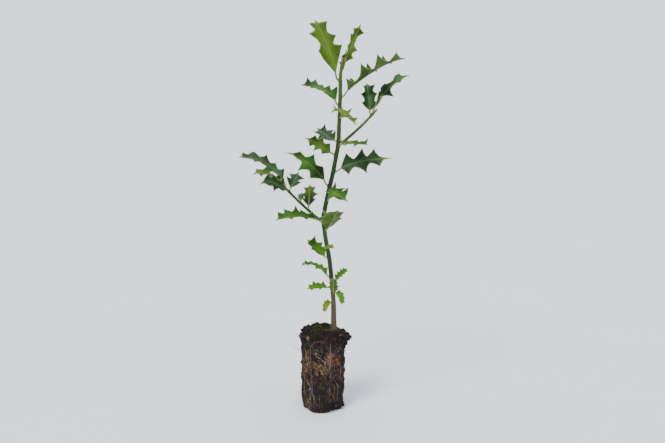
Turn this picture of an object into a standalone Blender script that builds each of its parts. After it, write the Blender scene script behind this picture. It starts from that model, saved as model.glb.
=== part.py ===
"""A young holly, Ilex aquifolium, raised in a cell tray and standing on its bare root ball.

The stem, its two side shoots, their end buds, the root ball and every leaf are separate solids.
Lengths are in metres and angles in degrees. +Z is up, +X is to the viewer's right and -Y is
towards the viewer. The origin is the middle of the root ball's flat underside.

A bearing is a compass direction seen from above: 0 is right, 90 away, 180 left, 270 towards
the viewer. A rise is the angle above the level.
"""

import math
from collections import namedtuple

import bmesh
import bpy
from mathutils import Vector, noise

# Clearance between pieces that touch on the real plant
GAP = 0.0003

# Edges between faces that turn by more than this are shaded sharp
BODY_SHARP_ANGLE = 50.0
LEAF_SHARP_ANGLE = 35.0

# Root ball: an eight-sided plug that narrows towards its foot
BALL_HEIGHT = 0.092
BALL_TOP_RADIUS = 0.0272
BALL_FOOT_RADIUS = 0.0250
BALL_CORNERS = 8
BALL_FIRST_CORNER = 286.0
BALL_STEPS_ROUND = 48
BALL_STEPS_UP = 20
BALL_STEPS_IN = 7
BALL_ROUGHNESS = 0.0011
BALL_LUMP_SIZE = 0.009
BALL_TOP_LUMPS = 0.0045
BALL_TOP_MEAN = 0.55
BALL_RIM = 0.0035
BALL_RIM_SHARE = 0.25
BALL_FLAT_FOOT = 0.0015
STEM_CLEARING = 0.008

# Clods that stand out of the ball: bearing, height, how far out and how wide
Clod = namedtuple("Clod", "bearing height reach spread")
CLODS = (
    Clod(340.0, 0.086, 0.0075, 0.0075),
    Clod(352.0, 0.074, 0.0035, 0.0050),
    Clod(345.0, 0.047, 0.0022, 0.0050),
    Clod(350.0, 0.030, 0.0018, 0.0060),
    Clod(318.0, 0.006, 0.0020, 0.0060),
    Clod(120.0, 0.083, 0.0040, 0.0080),
    Clod(70.0, 0.040, 0.0022, 0.0090),
    Clod(200.0, 0.020, 0.0012, 0.0080),
)

# Stem: height above the floor, place to the right, place away from the viewer, radius
Station = namedtuple("Station", "height right away radius")
STEM = (
    Station(BALL_HEIGHT + GAP, 0.0129, 0.0030, 0.00420),
    Station(0.0960, 0.0129, 0.0030, 0.00350),
    Station(0.1060, 0.0127, 0.0026, 0.00320),
    Station(0.1200, 0.0126, 0.0018, 0.00310),
    Station(0.1300, 0.0122, 0.0010, 0.00270),
    Station(0.1490, 0.0106, 0.0000, 0.00255),
    Station(0.1670, 0.0088, -0.0010, 0.00250),
    Station(0.1800, 0.0072, -0.0010, 0.00240),
    Station(0.1940, 0.0044, -0.0005, 0.00235),
    Station(0.2100, 0.0020, 0.0005, 0.00235),
    Station(0.2240, 0.0009, 0.0015, 0.00260),
    Station(0.2370, 0.0027, 0.0018, 0.00235),
    Station(0.2550, 0.0065, 0.0010, 0.00235),
    Station(0.2740, 0.0110, -0.0005, 0.00230),
    Station(0.2930, 0.0148, -0.0015, 0.00225),
    Station(0.3110, 0.0178, -0.0020, 0.00235),
    Station(0.3300, 0.0186, -0.0015, 0.00205),
    Station(0.3530, 0.0196, -0.0005, 0.00200),
    Station(0.3720, 0.0200, 0.0005, 0.00190),
    Station(0.3860, 0.0203, 0.0010, 0.00170),
    Station(0.3980, 0.0216, 0.0010, 0.00120),
)
STEM_STEP = 0.006
LIMB_ROUNDNESS = 3

# Side shoots: foot on the stem, first direction, length, and how the direction changes
Shoot = namedtuple("Shoot", "name at bearing rise length lift swing foot_radius tip_radius")
SHOOTS = (
    Shoot("left_shoot", 0.2235, 174.0, 40.0, 0.0600, 4.0, -12.0, 0.00150, 0.00110),
    Shoot("right_shoot", 0.3120, 352.0, 38.0, 0.0500, 10.0, 8.0, 0.00145, 0.00120),
)
SHOOT_STEP = 0.003

# End buds: the limb each one closes, its length and its radius
Bud = namedtuple("Bud", "name limb length radius")
BUDS = (
    Bud("top_bud", "stem", 0.0085, 0.00130),
    Bud("left_bud", "left_shoot", 0.0045, 0.00115),
    Bud("right_bud", "right_shoot", 0.0060, 0.00130),
)
BUD_SIDES = 10
BUD_STEPS = 6

# A bud's radius along it, over its largest radius: its foot, how it swells, how it closes
BUD_FOOT = 0.72
BUD_SWELL = 0.90
BUD_CLOSE = 1.58
BUD_CLOSE_POWER = 2.2

# Leaves. at: height up the stem, or distance along a shoot. stalk: the rise at the foot, which
# gives way to rise as the blade begins. lift and swing: how far the rise and the bearing have
# changed by the tip. curl: a further change of rise that comes near the tip. roll: the blade's
# turn about its midrib, right edge down, and twist: what is added to it by the tip. fold: how
# far both halves stand up from flat. wave: how far the pairs of spines stand above and below
# that by turns. bay: the blade's width between spines over its width at them. wedge: how long
# the spineless base is, over the distance between pairs. taper: how quickly the blade narrows
# to both ends from its widest place.
Leaf = namedtuple(
    "Leaf",
    "name limb at bearing stalk rise length width lift swing curl roll twist "
    "fold wave pairs bay wedge taper",
    defaults=(0.5,),
)
TRUNK = "stem"
LEFT = "left_shoot"
RIGHT = "right_shoot"
LEAVES = (
    Leaf("top_left", TRUNK, .380, 169, 85, 72, .073, .036, -16, 0, 25, -42, -10, 32, 12, 3, .4, .9),
    Leaf("top_right", TRUNK, .395, 35, 75, 66, .057, .023, -5, 0, 0, 100, -30, 18, 15, 4, .40, .7),
    Leaf("apex_young", TRUNK, .391, 105, 70, 72, .018, .007, 0, 0, 0, 0, 0, 25, 10, 2, .5, .7),
    Leaf("long_right", TRUNK, .362, 349, 75, 36, .083, .033, -8, 0, -22, 0, 0, 25, 40, 7, .34, .6),
    Leaf("upper_left", TRUNK, .353, 159, 105, 53, .055, .028, -55, 0, 0, -50, 0, 20, 20, 5, .38, .7),
    Leaf("high_front", TRUNK, .347, 258, 20, -5, .052, .025, -35, 75, 0, 0, 0, 20, 25, 5, .36, .6),
    Leaf("shoot_back", RIGHT, .046, 96, 70, 68, .046, .026, -10, 0, -40, 0, 0, 20, 15, 3, .40, .7),
    Leaf("shoot_right", RIGHT, .049, 323, 65, 57, .063, .028, -28, 0, -25, 45, 0, 20, 32, 4, .34, 1.2, .8),
    Leaf("mid_back", TRUNK, .312, 126, 20, 18, .044, .028, 8, 0, 0, -35, 0, 15, 22, 3, .34, .6),
    Leaf("mid_left", TRUNK, .296, 209, 15, 44, .042, .025, -35, 0, 0, -105, 0, 25, 12, 3, .34, .8),
    Leaf("mid_right", TRUNK, .308, 308, 50, 4, .050, .025, -12, 0, 0, 20, 0, 20, 24, 5, .38, .6),
    Leaf("dark_right", TRUNK, .279, 345, 60, 24, .068, .032, -24, 0, 0, 75, 0, 12, 12, 3, .30, .55),
    Leaf("mid_front", TRUNK, .257, 272, 30, 5, .048, .028, -35, 55, 0, 30, 0, 15, 22, 3, .38, .5),
    Leaf("mid_long", TRUNK, .262, 197, 85, 50, .069, .037, -28, 0, -25, -115, 30, 28, 10, 3, .24, .8, 1.8),
    Leaf("low_left", TRUNK, .2215, 207, 45, 22, .059, .022, -32, 0, -15, -35, 0, 25, 20, 5, .50, .6),
    Leaf("low_front", TRUNK, .211, 299, 50, 43, .039, .031, 0, 0, 0, -8, 0, 20, 10, 4, .62, .9),
    Leaf("end_far", LEFT, .058, 172, 67, 66, .070, .026, -72, 0, 0, -40, 0, 20, 30, 5, .34, .7),
    Leaf("end_front", LEFT, .056, 213, 45, 44, .048, .022, -20, 0, -60, 20, 0, 15, 25, 4, .36, .7),
    Leaf("end_low", LEFT, .051, 236, 25, 27, .053, .024, -10, 0, -50, -70, 0, 18, 18, 3, .40, .6),
    Leaf("shoot_up_back", LEFT, .051, 70, 50, 36, .036, .023, 0, 0, 0, 25, 0, 15, 15, 2, .40, .8),
    Leaf("shoot_up_front", LEFT, .020, 277, 60, 52, .039, .020, 0, 0, 0, 0, 0, 15, 15, 3, .50, .8),
    Leaf("shoot_small", LEFT, .032, 279, 60, 44, .018, .010, 0, 0, 0, 0, 0, 15, 15, 2, .50, .7),
    Leaf("foot_left_high", TRUNK, .182, 141, 40, 29, .037, .021, 0, 0, 0, -20, 0, 20, 18, 3, .50, .8),
    Leaf("foot_small", TRUNK, .193, 262, 10, 8, .024, .012, -10, 70, 0, 30, 0, 20, 15, 3, .50, .6),
    Leaf("foot_left_mid", TRUNK, .156, 158, 65, 66, .043, .015, -95, 0, 0, -10, 0, 20, 18, 5, .58, .7),
    Leaf("foot_left_low", TRUNK, .1442, 203, 25, 24, .030, .014, -42, 0, 0, -30, 0, 15, 14, 4, .60, .7),
    Leaf("foot_front", TRUNK, .137, 268, 60, 66, .026, .014, 0, 0, 0, 0, 0, 15, 10, 4, .62, .7),
    Leaf("foot_right_high", TRUNK, .151, 38, 40, 36, .025, .012, -10, 0, 0, 40, 0, 15, 12, 4, .60, .7),
    Leaf("foot_right_low", TRUNK, .138, 312, 40, 30, .023, .012, -150, 0, 0, 50, 0, 15, 8, 4, .66, .7),
    Leaf("foot_lowest", TRUNK, .127, 232, 50, 42, .021, .010, -150, 0, 0, -40, 0, 15, 8, 4, .66, .7),
)

# Leaf stalk: its share of the leaf, its radius, the length in which it leaves the limb, and the
# share of the leaf in which the stalk's own rise gives way
PETIOLE_SHARE = 0.10
PETIOLE_RADIUS = 0.00085
PETIOLE_TURN = 0.0045
STALK_SHARE = 0.30
STALK_EASING = 2
CURL_LATENESS = 4

# Blade: thickness at the edge and the midrib, and half its width at its points
BLADE_THICKNESS = 0.0008
RIB_THICKNESS = 0.0013
POINT_WIDTH = 0.0003

# Outline: how far spines lean forward, the length past the last pair in spine distances, where
# the blade is widest, how round the bays are, how hollow the wedge is, how narrow the tip is
SPINE_SWEEP = 0.30
PAIRS_AFTER = 1.15
WIDEST_AT = 0.38
BAY_ROUNDNESS = 1.7
WEDGE_HOLLOW = 1.25
TIP_NARROWING = 0.75
SPINE_SHARE = 0.45

# Rings of points along a leaf
STATIONS_PER_PAIR = 4
WEDGE_STATIONS = 3
STALK_STATIONS = 3
PATH_STEP = 0.001


def smooth(value):
    """Ease from 0 to 1 as value goes from 0 to 1."""
    value = min(1.0, max(0.0, value))
    return value * value * (3.0 - 2.0 * value)


def mix(low, high, share):
    """The number that lies the given share of the way from low to high."""
    return low + (high - low) * share


def direction(bearing, rise):
    """The unit vector that points at a bearing and a rise."""
    turn = math.radians(bearing)
    climb = math.radians(rise)
    return Vector((math.cos(climb) * math.cos(turn), math.cos(climb) * math.sin(turn),
                   math.sin(climb)))


def curve_through(values, place):
    """Read a smooth curve through evenly weighted rows at a fractional row number."""
    row = min(int(place), len(values) - 2)
    share = place - row
    before = values[max(row - 1, 0)]
    start = values[row]
    end = values[row + 1]
    after = values[min(row + 2, len(values) - 1)]
    slope_in = (end - before) * 0.5
    slope_out = (after - start) * 0.5
    square = share * share
    cube = square * share
    return (start * (2 * cube - 3 * square + 1) + slope_in * (cube - 2 * square + share)
            + end * (3 * square - 2 * cube) + slope_out * (cube - square))


class Limb:
    """A round limb: the points of its centre line, a radius and a mark at each."""

    def __init__(self, name, points, radii, marks):
        self.name = name
        self.points = points
        self.radii = radii
        self.marks = marks

    def seat(self, mark):
        """Centre, direction and radius of the limb at a mark."""
        last = len(self.marks) - 1
        row = 0
        while row < last - 1 and self.marks[row + 1] < mark:
            row += 1
        span = self.marks[row + 1] - self.marks[row]
        share = min(1.0, max(0.0, (mark - self.marks[row]) / span))
        centre = self.points[row].lerp(self.points[row + 1], share)
        along = (self.points[row + 1] - self.points[row]).normalized()
        return centre, along, mix(self.radii[row], self.radii[row + 1], share)


def make_stem():
    """The stem's centre line, marked by height, with a level first step for its flat cut."""
    rows = [Vector((station.right, station.away, station.height)) for station in STEM]
    radii = [station.radius for station in STEM]
    points = []
    widths = []
    for row in range(len(STEM) - 1):
        steps = max(1, round((STEM[row + 1].height - STEM[row].height) / STEM_STEP))
        for step in range(steps):
            points.append(curve_through(rows, row + step / steps))
            widths.append(mix(radii[row], radii[row + 1], step / steps))
    points.append(rows[-1])
    widths.append(radii[-1])
    return Limb("stem", points, widths, [point.z for point in points])


def make_shoot(shoot, stem):
    """A side shoot's centre line, marked by the distance from its foot."""
    centre, _, radius = stem.seat(shoot.at)
    start = centre + direction(shoot.bearing, 0.0) * (radius + GAP)
    count = round(shoot.length / SHOOT_STEP)
    points = [start]
    for step in range(count):
        share = step / count
        heading = direction(shoot.bearing + shoot.swing * share, shoot.rise + shoot.lift * share)
        if step == 0:
            heading = direction(shoot.bearing, 0.0)
        points.append(points[-1] + heading * SHOOT_STEP)
    radii = [mix(shoot.foot_radius, shoot.tip_radius, step / count) for step in range(count + 1)]
    return Limb(shoot.name, points, radii, [step * SHOOT_STEP for step in range(count + 1)])


def limb_object(limb, material):
    """A limb as a beveled curve with filled ends."""
    curve = bpy.data.curves.new(limb.name, "CURVE")
    curve.dimensions = "3D"
    curve.bevel_depth = 1.0
    curve.bevel_resolution = LIMB_ROUNDNESS
    curve.use_fill_caps = True
    curve.resolution_u = 1
    spline = curve.splines.new("POLY")
    spline.points.add(len(limb.points) - 1)
    for knot, point, radius in zip(spline.points, limb.points, limb.radii):
        knot.co = (point.x, point.y, point.z, 1.0)
        knot.radius = radius
    limb_obj = bpy.data.objects.new(limb.name, curve)
    limb_obj.data.materials.append(material)
    bpy.context.collection.objects.link(limb_obj)
    return limb_obj


def mesh_object(name, mesh_data, material, sharp_angle):
    """Turn a closed bmesh into a smooth-shaded object with one material."""
    if mesh_data.calc_volume(signed=True) < 0.0:
        bmesh.ops.reverse_faces(mesh_data, faces=mesh_data.faces)
    mesh = bpy.data.meshes.new(name)
    mesh_data.to_mesh(mesh)
    mesh_data.free()
    mesh.shade_smooth()
    mesh.set_sharp_from_angle(angle=math.radians(sharp_angle))
    mesh.materials.append(material)
    mesh_obj = bpy.data.objects.new(name, mesh)
    bpy.context.collection.objects.link(mesh_obj)
    return mesh_obj


def loft(rings):
    """Join rings of points into one closed body with flat ends."""
    body = bmesh.new()
    loops = [[body.verts.new(point) for point in ring] for ring in rings]
    count = len(loops[0])
    for lower, upper in zip(loops, loops[1:]):
        for corner in range(count):
            following = (corner + 1) % count
            body.faces.new((lower[corner], lower[following], upper[following], upper[corner]))
    body.faces.new(loops[0][::-1])
    body.faces.new(loops[-1])
    bmesh.ops.triangulate(body, faces=body.faces)
    return body


def ball_radius(turn, height):
    """How far the root ball's side lies from its axis at an angle and a height."""
    corner_angle = math.tau / BALL_CORNERS
    from_corner = (turn - math.radians(BALL_FIRST_CORNER)) % corner_angle
    corner_radius = mix(BALL_FOOT_RADIUS, BALL_TOP_RADIUS, height / BALL_HEIGHT)
    flat = math.cos(corner_angle / 2) / math.cos(from_corner - corner_angle / 2)
    place = Vector((math.cos(turn), math.sin(turn), 0.0)) * corner_radius
    place.z = height
    rough = noise.noise(place / BALL_LUMP_SIZE) + 0.5 * noise.noise(place * 2.3 / BALL_LUMP_SIZE)
    reach = corner_radius * flat + BALL_ROUGHNESS * rough
    for clod in CLODS:
        around = (turn - math.radians(clod.bearing) + math.pi) % math.tau - math.pi
        distance = math.hypot(around * corner_radius, height - clod.height)
        reach += clod.reach * math.exp(-(distance / clod.spread) ** 2)
    return reach


def ball_top_height(x, y, rim_share):
    """Height of the crumbly top, level where the stem stands and lower at the rim."""
    from_stem = math.hypot(x - STEM[0].right, y - STEM[0].away)
    clear = smooth(from_stem / STEM_CLEARING - 1.0)
    lump = BALL_TOP_MEAN + noise.noise(Vector((x, y, BALL_HEIGHT)) / BALL_LUMP_SIZE)
    drop = BALL_RIM * smooth(1.0 - (1.0 - rim_share) / BALL_RIM_SHARE)
    return BALL_HEIGHT + BALL_TOP_LUMPS * lump * clear - drop


def make_root_ball(material):
    """The plug of compost and roots, with a flat underside and a rough top."""
    rings = []
    for level in range(BALL_STEPS_UP + 1):
        height = (BALL_HEIGHT - BALL_RIM) * level / BALL_STEPS_UP
        ring = []
        for step in range(BALL_STEPS_ROUND):
            turn = math.tau * step / BALL_STEPS_ROUND
            reach = ball_radius(turn, height)
            if level == 0:
                reach -= BALL_FLAT_FOOT
            ring.append(Vector((reach * math.cos(turn), reach * math.sin(turn), height)))
        rings.append(ring)
    rim = rings[-1]
    for level in range(1, BALL_STEPS_IN):
        share = 1.0 - level / BALL_STEPS_IN
        ring = []
        for point in rim:
            x = point.x * share
            y = point.y * share
            ring.append(Vector((x, y, ball_top_height(x, y, share))))
        rings.append(ring)
    return mesh_object("root_ball", loft(rings), material, BODY_SHARP_ANGLE)


def make_bud(bud, limb, material):
    """A pointed bud that stands on the end of its limb."""
    along = (limb.points[-1] - limb.points[-2]).normalized()
    side = along.orthogonal().normalized()
    across = along.cross(side)
    start = limb.points[-1] + along * GAP
    rings = []
    for level in range(BUD_STEPS + 1):
        share = level / BUD_STEPS
        swell = BUD_FOOT + BUD_SWELL * share - BUD_CLOSE * share ** BUD_CLOSE_POWER
        radius = bud.radius * swell
        centre = start + along * bud.length * share
        ring = []
        for step in range(BUD_SIDES):
            turn = math.tau * step / BUD_SIDES
            ring.append(centre + (side * math.cos(turn) + across * math.sin(turn)) * radius)
        rings.append(ring)
    return mesh_object(bud.name, loft(rings), material, BODY_SHARP_ANGLE)


def leaf_path(leaf, limb):
    """Points, directions and bearings along a leaf's midrib, from its limb to its tip."""
    centre, along, radius = limb.seat(leaf.at)
    heading = direction(leaf.bearing, leaf.rise)
    outward = (heading - along * heading.dot(along)).normalized()
    point = centre + outward * (radius + GAP)
    count = round(leaf.length / PATH_STEP)
    points = [point]
    headings = [outward]
    bearings = [leaf.bearing]
    for step in range(1, count + 1):
        share = step / count
        bearing = leaf.bearing + leaf.swing * share
        foot = max(0.0, 1.0 - share / STALK_SHARE) ** STALK_EASING
        rise = mix(leaf.rise, leaf.stalk, foot) + leaf.lift * share
        rise += leaf.curl * share ** CURL_LATENESS
        heading = direction(bearing, rise)
        turned = smooth(step * PATH_STEP / PETIOLE_TURN)
        heading = outward.lerp(heading, turned).normalized()
        points.append(points[-1] + heading * PATH_STEP)
        headings.append(heading)
        bearings.append(bearing)
    return points, headings, bearings


def blade_share(leaf, place):
    """How far along the blade a place in the run of spine pairs lies."""
    return (place + leaf.wedge) / (leaf.pairs - 1 + leaf.wedge + PAIRS_AFTER)


def half_width(leaf, place):
    """Half the blade's width at a place in its run of spine pairs: wide at whole numbers."""
    last = leaf.pairs - 1
    share = blade_share(leaf, min(max(place, 0.0), last))
    envelope = math.sin(math.pi * share ** (math.log(0.5) / math.log(WIDEST_AT))) ** leaf.taper
    if place < 0.0:
        along_wedge = max(0.0, 1.0 + place / leaf.wedge)
        return leaf.width / 2 * envelope * along_wedge ** WEDGE_HOLLOW
    bay = leaf.bay
    from_bay = abs((place % 1.0) * 2.0 - 1.0)
    if place > last:
        beyond = (place - last) / PAIRS_AFTER
        bay *= TIP_NARROWING * (1.0 - beyond)
        from_bay = max(0.0, 1.0 - beyond / SPINE_SHARE)
    return leaf.width / 2 * envelope * (bay + (1.0 - bay) * from_bay ** BAY_ROUNDNESS)


def read_path(path, share):
    """The midrib's point, direction and bearing at a share of its length."""
    points, headings, bearings = path
    place = share * (len(points) - 1)
    row = min(int(place), len(points) - 2)
    between = place - row
    point = points[row].lerp(points[row + 1], between)
    heading = headings[row].lerp(headings[row + 1], between).normalized()
    return point, heading, mix(bearings[row], bearings[row + 1], between)


def blade_frame(leaf, forward, bearing, along_share):
    """The directions to the blade's right and out of its upper face."""
    turn = math.radians(bearing)
    side = Vector((math.sin(turn), -math.cos(turn), 0.0))
    side = (side - forward * side.dot(forward)).normalized()
    up = side.cross(forward)
    roll = math.radians(leaf.roll + leaf.twist * along_share)
    right = side * math.cos(roll) - up * math.sin(roll)
    top = up * math.cos(roll) + side * math.sin(roll)
    return right, top


def stalk_ring(centre, right, top):
    """Six points round the leaf's stalk."""
    ring = []
    for turn in (150, 90, 30, -30, -90, -150):
        out = math.radians(turn)
        ring.append(centre + (right * math.cos(out) + top * math.sin(out)) * PETIOLE_RADIUS)
    return ring


def blade_ring(leaf, place, centre, forward, right, top):
    """Six points round the blade: edge, midrib and edge above, and the same below."""
    width = half_width(leaf, place)
    width = max(width, POINT_WIDTH if place > 0.0 else PETIOLE_RADIUS)
    angle = math.radians(leaf.fold + leaf.wave * math.cos(math.pi * place))
    above = []
    below = []
    for hand in (-1, 1):
        outward = right * hand * math.cos(angle) + top * math.sin(angle)
        normal = top * math.cos(angle) - right * hand * math.sin(angle)
        edge = centre + outward * width + forward * width * SPINE_SWEEP
        above.append(edge + normal * BLADE_THICKNESS / 2)
        below.append(edge - normal * BLADE_THICKNESS / 2)
    rib = top * RIB_THICKNESS / 2
    return [above[0], centre + rib, above[1], below[1], centre - rib, below[0]]


def make_leaf(leaf, limb, material):
    """One leaf: a round stalk that widens into a folded, waving blade with spines."""
    path = leaf_path(leaf, limb)
    rings = []
    for step in range(STALK_STATIONS):
        centre, forward, bearing = read_path(path, PETIOLE_SHARE * step / STALK_STATIONS)
        right, top = blade_frame(leaf, forward, bearing, 0.0)
        rings.append(stalk_ring(centre, right, top))
    final = math.floor((leaf.pairs - 1 + PAIRS_AFTER) * STATIONS_PER_PAIR)
    places = [-leaf.wedge * step / WEDGE_STATIONS for step in range(WEDGE_STATIONS, 0, -1)]
    places += [step / STATIONS_PER_PAIR for step in range(final)]
    places.append(leaf.pairs - 1 + PAIRS_AFTER)
    for place in places:
        along_share = mix(PETIOLE_SHARE, 1.0, blade_share(leaf, place))
        centre, forward, bearing = read_path(path, along_share)
        right, top = blade_frame(leaf, forward, bearing, along_share)
        rings.append(blade_ring(leaf, place, centre, forward, right, top))
    return mesh_object("leaf_" + leaf.name, loft(rings), material, LEAF_SHARP_ANGLE)


def finish(name, colour, roughness):
    """A material of one colour and roughness."""
    material = bpy.data.materials.new(name)
    material.use_nodes = True
    shader = material.node_tree.nodes["Principled BSDF"]
    shader.inputs["Base Color"].default_value = (*colour, 1.0)
    shader.inputs["Roughness"].default_value = roughness
    shader.inputs["Metallic"].default_value = 0.0
    return material


def main():
    for old in list(bpy.data.objects):
        bpy.data.objects.remove(old)
    compost = finish("compost", (0.035, 0.022, 0.018), 0.95)
    bark = finish("bark", (0.10, 0.12, 0.035), 0.60)
    bud_scale = finish("bud_scale", (0.32, 0.42, 0.10), 0.45)
    foliage = finish("foliage", (0.08, 0.19, 0.045), 0.35)
    make_root_ball(compost)
    stem = make_stem()
    limbs = {"stem": stem}
    for shoot in SHOOTS:
        limbs[shoot.name] = make_shoot(shoot, stem)
    for limb in limbs.values():
        limb_object(limb, bark)
    for bud in BUDS:
        make_bud(bud, limbs[bud.limb], bud_scale)
    for leaf in LEAVES:
        make_leaf(leaf, limbs[leaf.limb], foliage)


main()
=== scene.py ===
# %% [markdown]
# # A young holly on its root ball
#
# The real thing is a holly seedling, raised in a cell tray and lifted out with its plug of
# compost. The frame holds its plain solids: a plug, a stem, two shoots, three buds and thirty
# leaves. In this lesson each solid gets a finer mesh in its place, and then a finish made of
# nodes. The measuring is done already, so everything is in metres where it stands.

# %% Load the fixed frame
import math
from collections import namedtuple

import bmesh
import bpy
import numpy as np
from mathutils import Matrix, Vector, noise


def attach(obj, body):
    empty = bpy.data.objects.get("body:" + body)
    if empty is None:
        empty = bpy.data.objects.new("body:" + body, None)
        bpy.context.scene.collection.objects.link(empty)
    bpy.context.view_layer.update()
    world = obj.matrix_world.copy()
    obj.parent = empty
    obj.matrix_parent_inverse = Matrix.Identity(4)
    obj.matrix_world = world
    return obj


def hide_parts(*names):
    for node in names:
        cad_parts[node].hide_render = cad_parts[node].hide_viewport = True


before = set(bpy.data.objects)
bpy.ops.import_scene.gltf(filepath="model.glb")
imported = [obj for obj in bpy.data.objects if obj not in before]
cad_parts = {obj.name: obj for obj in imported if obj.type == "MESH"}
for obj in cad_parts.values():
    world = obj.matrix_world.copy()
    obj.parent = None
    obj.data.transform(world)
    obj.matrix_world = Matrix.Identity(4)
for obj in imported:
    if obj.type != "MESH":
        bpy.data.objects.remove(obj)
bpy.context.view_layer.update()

# %% [markdown]
# Operators act on whatever is selected, and a fresh import leaves everything selected. So the
# first helpers clear the selection, pick one piece, and apply a modifier. The small number
# helpers come from the source of the solids, because the fine meshes follow its rules.


# %% Helpers for selecting, applying and reporting
def deselect():
    """Leave edit mode and select nothing."""
    if bpy.context.object and bpy.context.object.mode != "OBJECT":
        bpy.ops.object.mode_set(mode="OBJECT")
    bpy.ops.object.select_all(action="DESELECT")


def pick(piece):
    """Make one piece the only selected and active object."""
    deselect()
    piece.select_set(True)
    bpy.context.view_layer.objects.active = piece


def apply_modifier(piece, kind, **settings):
    """Add a modifier with these settings and apply it."""
    pick(piece)
    modifier = piece.modifiers.new(kind.title(), kind)
    for key, value in settings.items():
        setattr(modifier, key, value)
    bpy.ops.object.modifier_apply(modifier=modifier.name)


def tell(piece):
    """Print how large a finished piece's mesh is."""
    faces = piece.data.polygons
    triangles = sum(len(face.vertices) - 2 for face in faces)
    print(f"{piece.name}: {len(piece.data.vertices)} points, {triangles} triangles")


def settle(piece, slot, *nodes):
    """Put a finished piece on the plant, in the place of the solids it stands for."""
    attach(piece, "root")
    if nodes:
        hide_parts(*nodes)
    tell(piece)


deselect()


# %% Number helpers, as in the source of the solids
def smooth(value):
    """Ease from 0 to 1 as value goes from 0 to 1."""
    value = min(1.0, max(0.0, value))
    return value * value * (3.0 - 2.0 * value)


def mix(low, high, share):
    """The number that lies the given share of the way from low to high."""
    return low + (high - low) * share


def direction(bearing, rise):
    """The unit vector at a bearing, 0 right and 90 away, and a rise above the level."""
    turn = math.radians(bearing)
    climb = math.radians(rise)
    return Vector((math.cos(climb) * math.cos(turn), math.cos(climb) * math.sin(turn),
                   math.sin(climb)))


def square_to(along, vector):
    """The unit vector across a direction that lies nearest to a vector."""
    return (vector - along * vector.dot(along)).normalized()


def curve_through(values, place):
    """Read a smooth curve through evenly weighted rows at a fractional row number."""
    row = min(int(place), len(values) - 2)
    share = place - row
    before = values[max(row - 1, 0)]
    start = values[row]
    end = values[row + 1]
    after = values[min(row + 2, len(values) - 1)]
    slope_in = (end - before) * 0.5
    slope_out = (after - start) * 0.5
    square = share * share
    cube = square * share
    return (start * (2 * cube - 3 * square + 1) + slope_in * (cube - 2 * square + share)
            + end * (3 * square - 2 * cube) + slope_out * (cube - square))


# %% [markdown]
# The camera comes before any looks, because the photograph's angle decides which side is judged
# first. It stands about 68 cm away, above the plant's middle, and looks down by 7.5 degrees. Its
# focal length is 600 pixels in a picture 665 wide, so the sides fall where they should.

# %% Camera at the photograph's angle
PICTURE_WIDTH = 665
FOCAL_PIXELS = 600
CAMERA_PLACE = (0.0112, -0.683, 0.311)
CAMERA_TILT = 82.5

bpy.ops.object.camera_add(location=CAMERA_PLACE, rotation=(math.radians(CAMERA_TILT), 0.0, 0.0))
camera = bpy.context.object
camera.name = "camera"
camera.data.sensor_width = 36.0
camera.data.lens = 36.0 * FOCAL_PIXELS / PICTURE_WIDTH
camera.data.clip_start = 0.02
bpy.context.scene.camera = camera
print("lens:", round(camera.data.lens, 2), "mm")

# %% [markdown]
# The plant was photographed in a white corner by soft daylight. Wide, soft suns light the plant
# and the floor evenly, however far the floor goes, and give the leaves their broad shine. The
# key sun stands high on the left, where the photograph's shine comes from. The world is dim for
# everything but the view itself, or a dark waxy leaf would mirror it and turn grey.

# %% Lights and world
BACKDROP_COLOUR = (1.47, 1.59, 1.79, 1.0)
SKY_COLOUR = (0.62, 0.70, 0.82, 1.0)

Lamp = namedtuple("Lamp", "name bearing rise spread power colour")
LAMPS = (
    Lamp("key_sun", 232.0, 50.0, 26.0, 3.4, (1.0, 0.98, 0.93)),
    Lamp("top_sun", 75.0, 72.0, 60.0, 1.5, (0.92, 0.96, 1.0)),
    Lamp("fill_sun", 322.0, 22.0, 50.0, 0.8, (0.95, 0.98, 1.0)),
)

world = bpy.data.worlds.new("pale_room")
world.use_nodes = True
tree = world.node_tree
sky = tree.nodes["Background"]
sky.inputs["Color"].default_value = SKY_COLOUR
backdrop = tree.nodes.new("ShaderNodeBackground")
backdrop.inputs["Color"].default_value = BACKDROP_COLOUR
seen = tree.nodes.new("ShaderNodeLightPath")
either = tree.nodes.new("ShaderNodeMixShader")
tree.links.new(seen.outputs["Is Camera Ray"], either.inputs["Fac"])
tree.links.new(sky.outputs["Background"], either.inputs[1])
tree.links.new(backdrop.outputs["Background"], either.inputs[2])
tree.links.new(either.outputs["Shader"], tree.nodes["World Output"].inputs["Surface"])
bpy.context.scene.world = world

for lamp in LAMPS:
    place = direction(lamp.bearing, lamp.rise)
    turned = (-place).to_track_quat("-Z", "Y").to_euler()
    bpy.ops.object.light_add(type="SUN", location=place * 2.0, rotation=turned)
    light = bpy.context.object
    light.name = lamp.name
    light.data.angle = math.radians(lamp.spread)
    light.data.energy = lamp.power
    light.data.color = lamp.colour
    print(lamp.name, lamp.power, "W per square metre")

# %% [markdown]
# Finishes are node trees, and writing them node by node is long. So one helper adds a node, sets
# its options and fills its inputs, each from a number, a colour or another node's output.


# %% Helpers that write node trees
def put(tree, kind, inputs=None, **options):
    """Add a node with its options, and fill or link its inputs."""
    node = tree.nodes.new(kind)
    for key, value in options.items():
        setattr(node, key, value)
    for key, value in (inputs or {}).items():
        if isinstance(value, bpy.types.NodeSocket):
            tree.links.new(value, node.inputs[key])
        else:
            node.inputs[key].default_value = value
    return node


def blend_colour(tree, share, first, second, way="MIX"):
    """Mix two colours by a share. Each is a node's output, or a red, green and blue."""
    first, second = (shade if isinstance(shade, bpy.types.NodeSocket) else (*shade, 1.0)
                     for shade in (first, second))
    node = put(tree, "ShaderNodeMix", {0: share, 6: first, 7: second}, data_type="RGBA",
               blend_type=way)
    return node.outputs[2]


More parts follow.
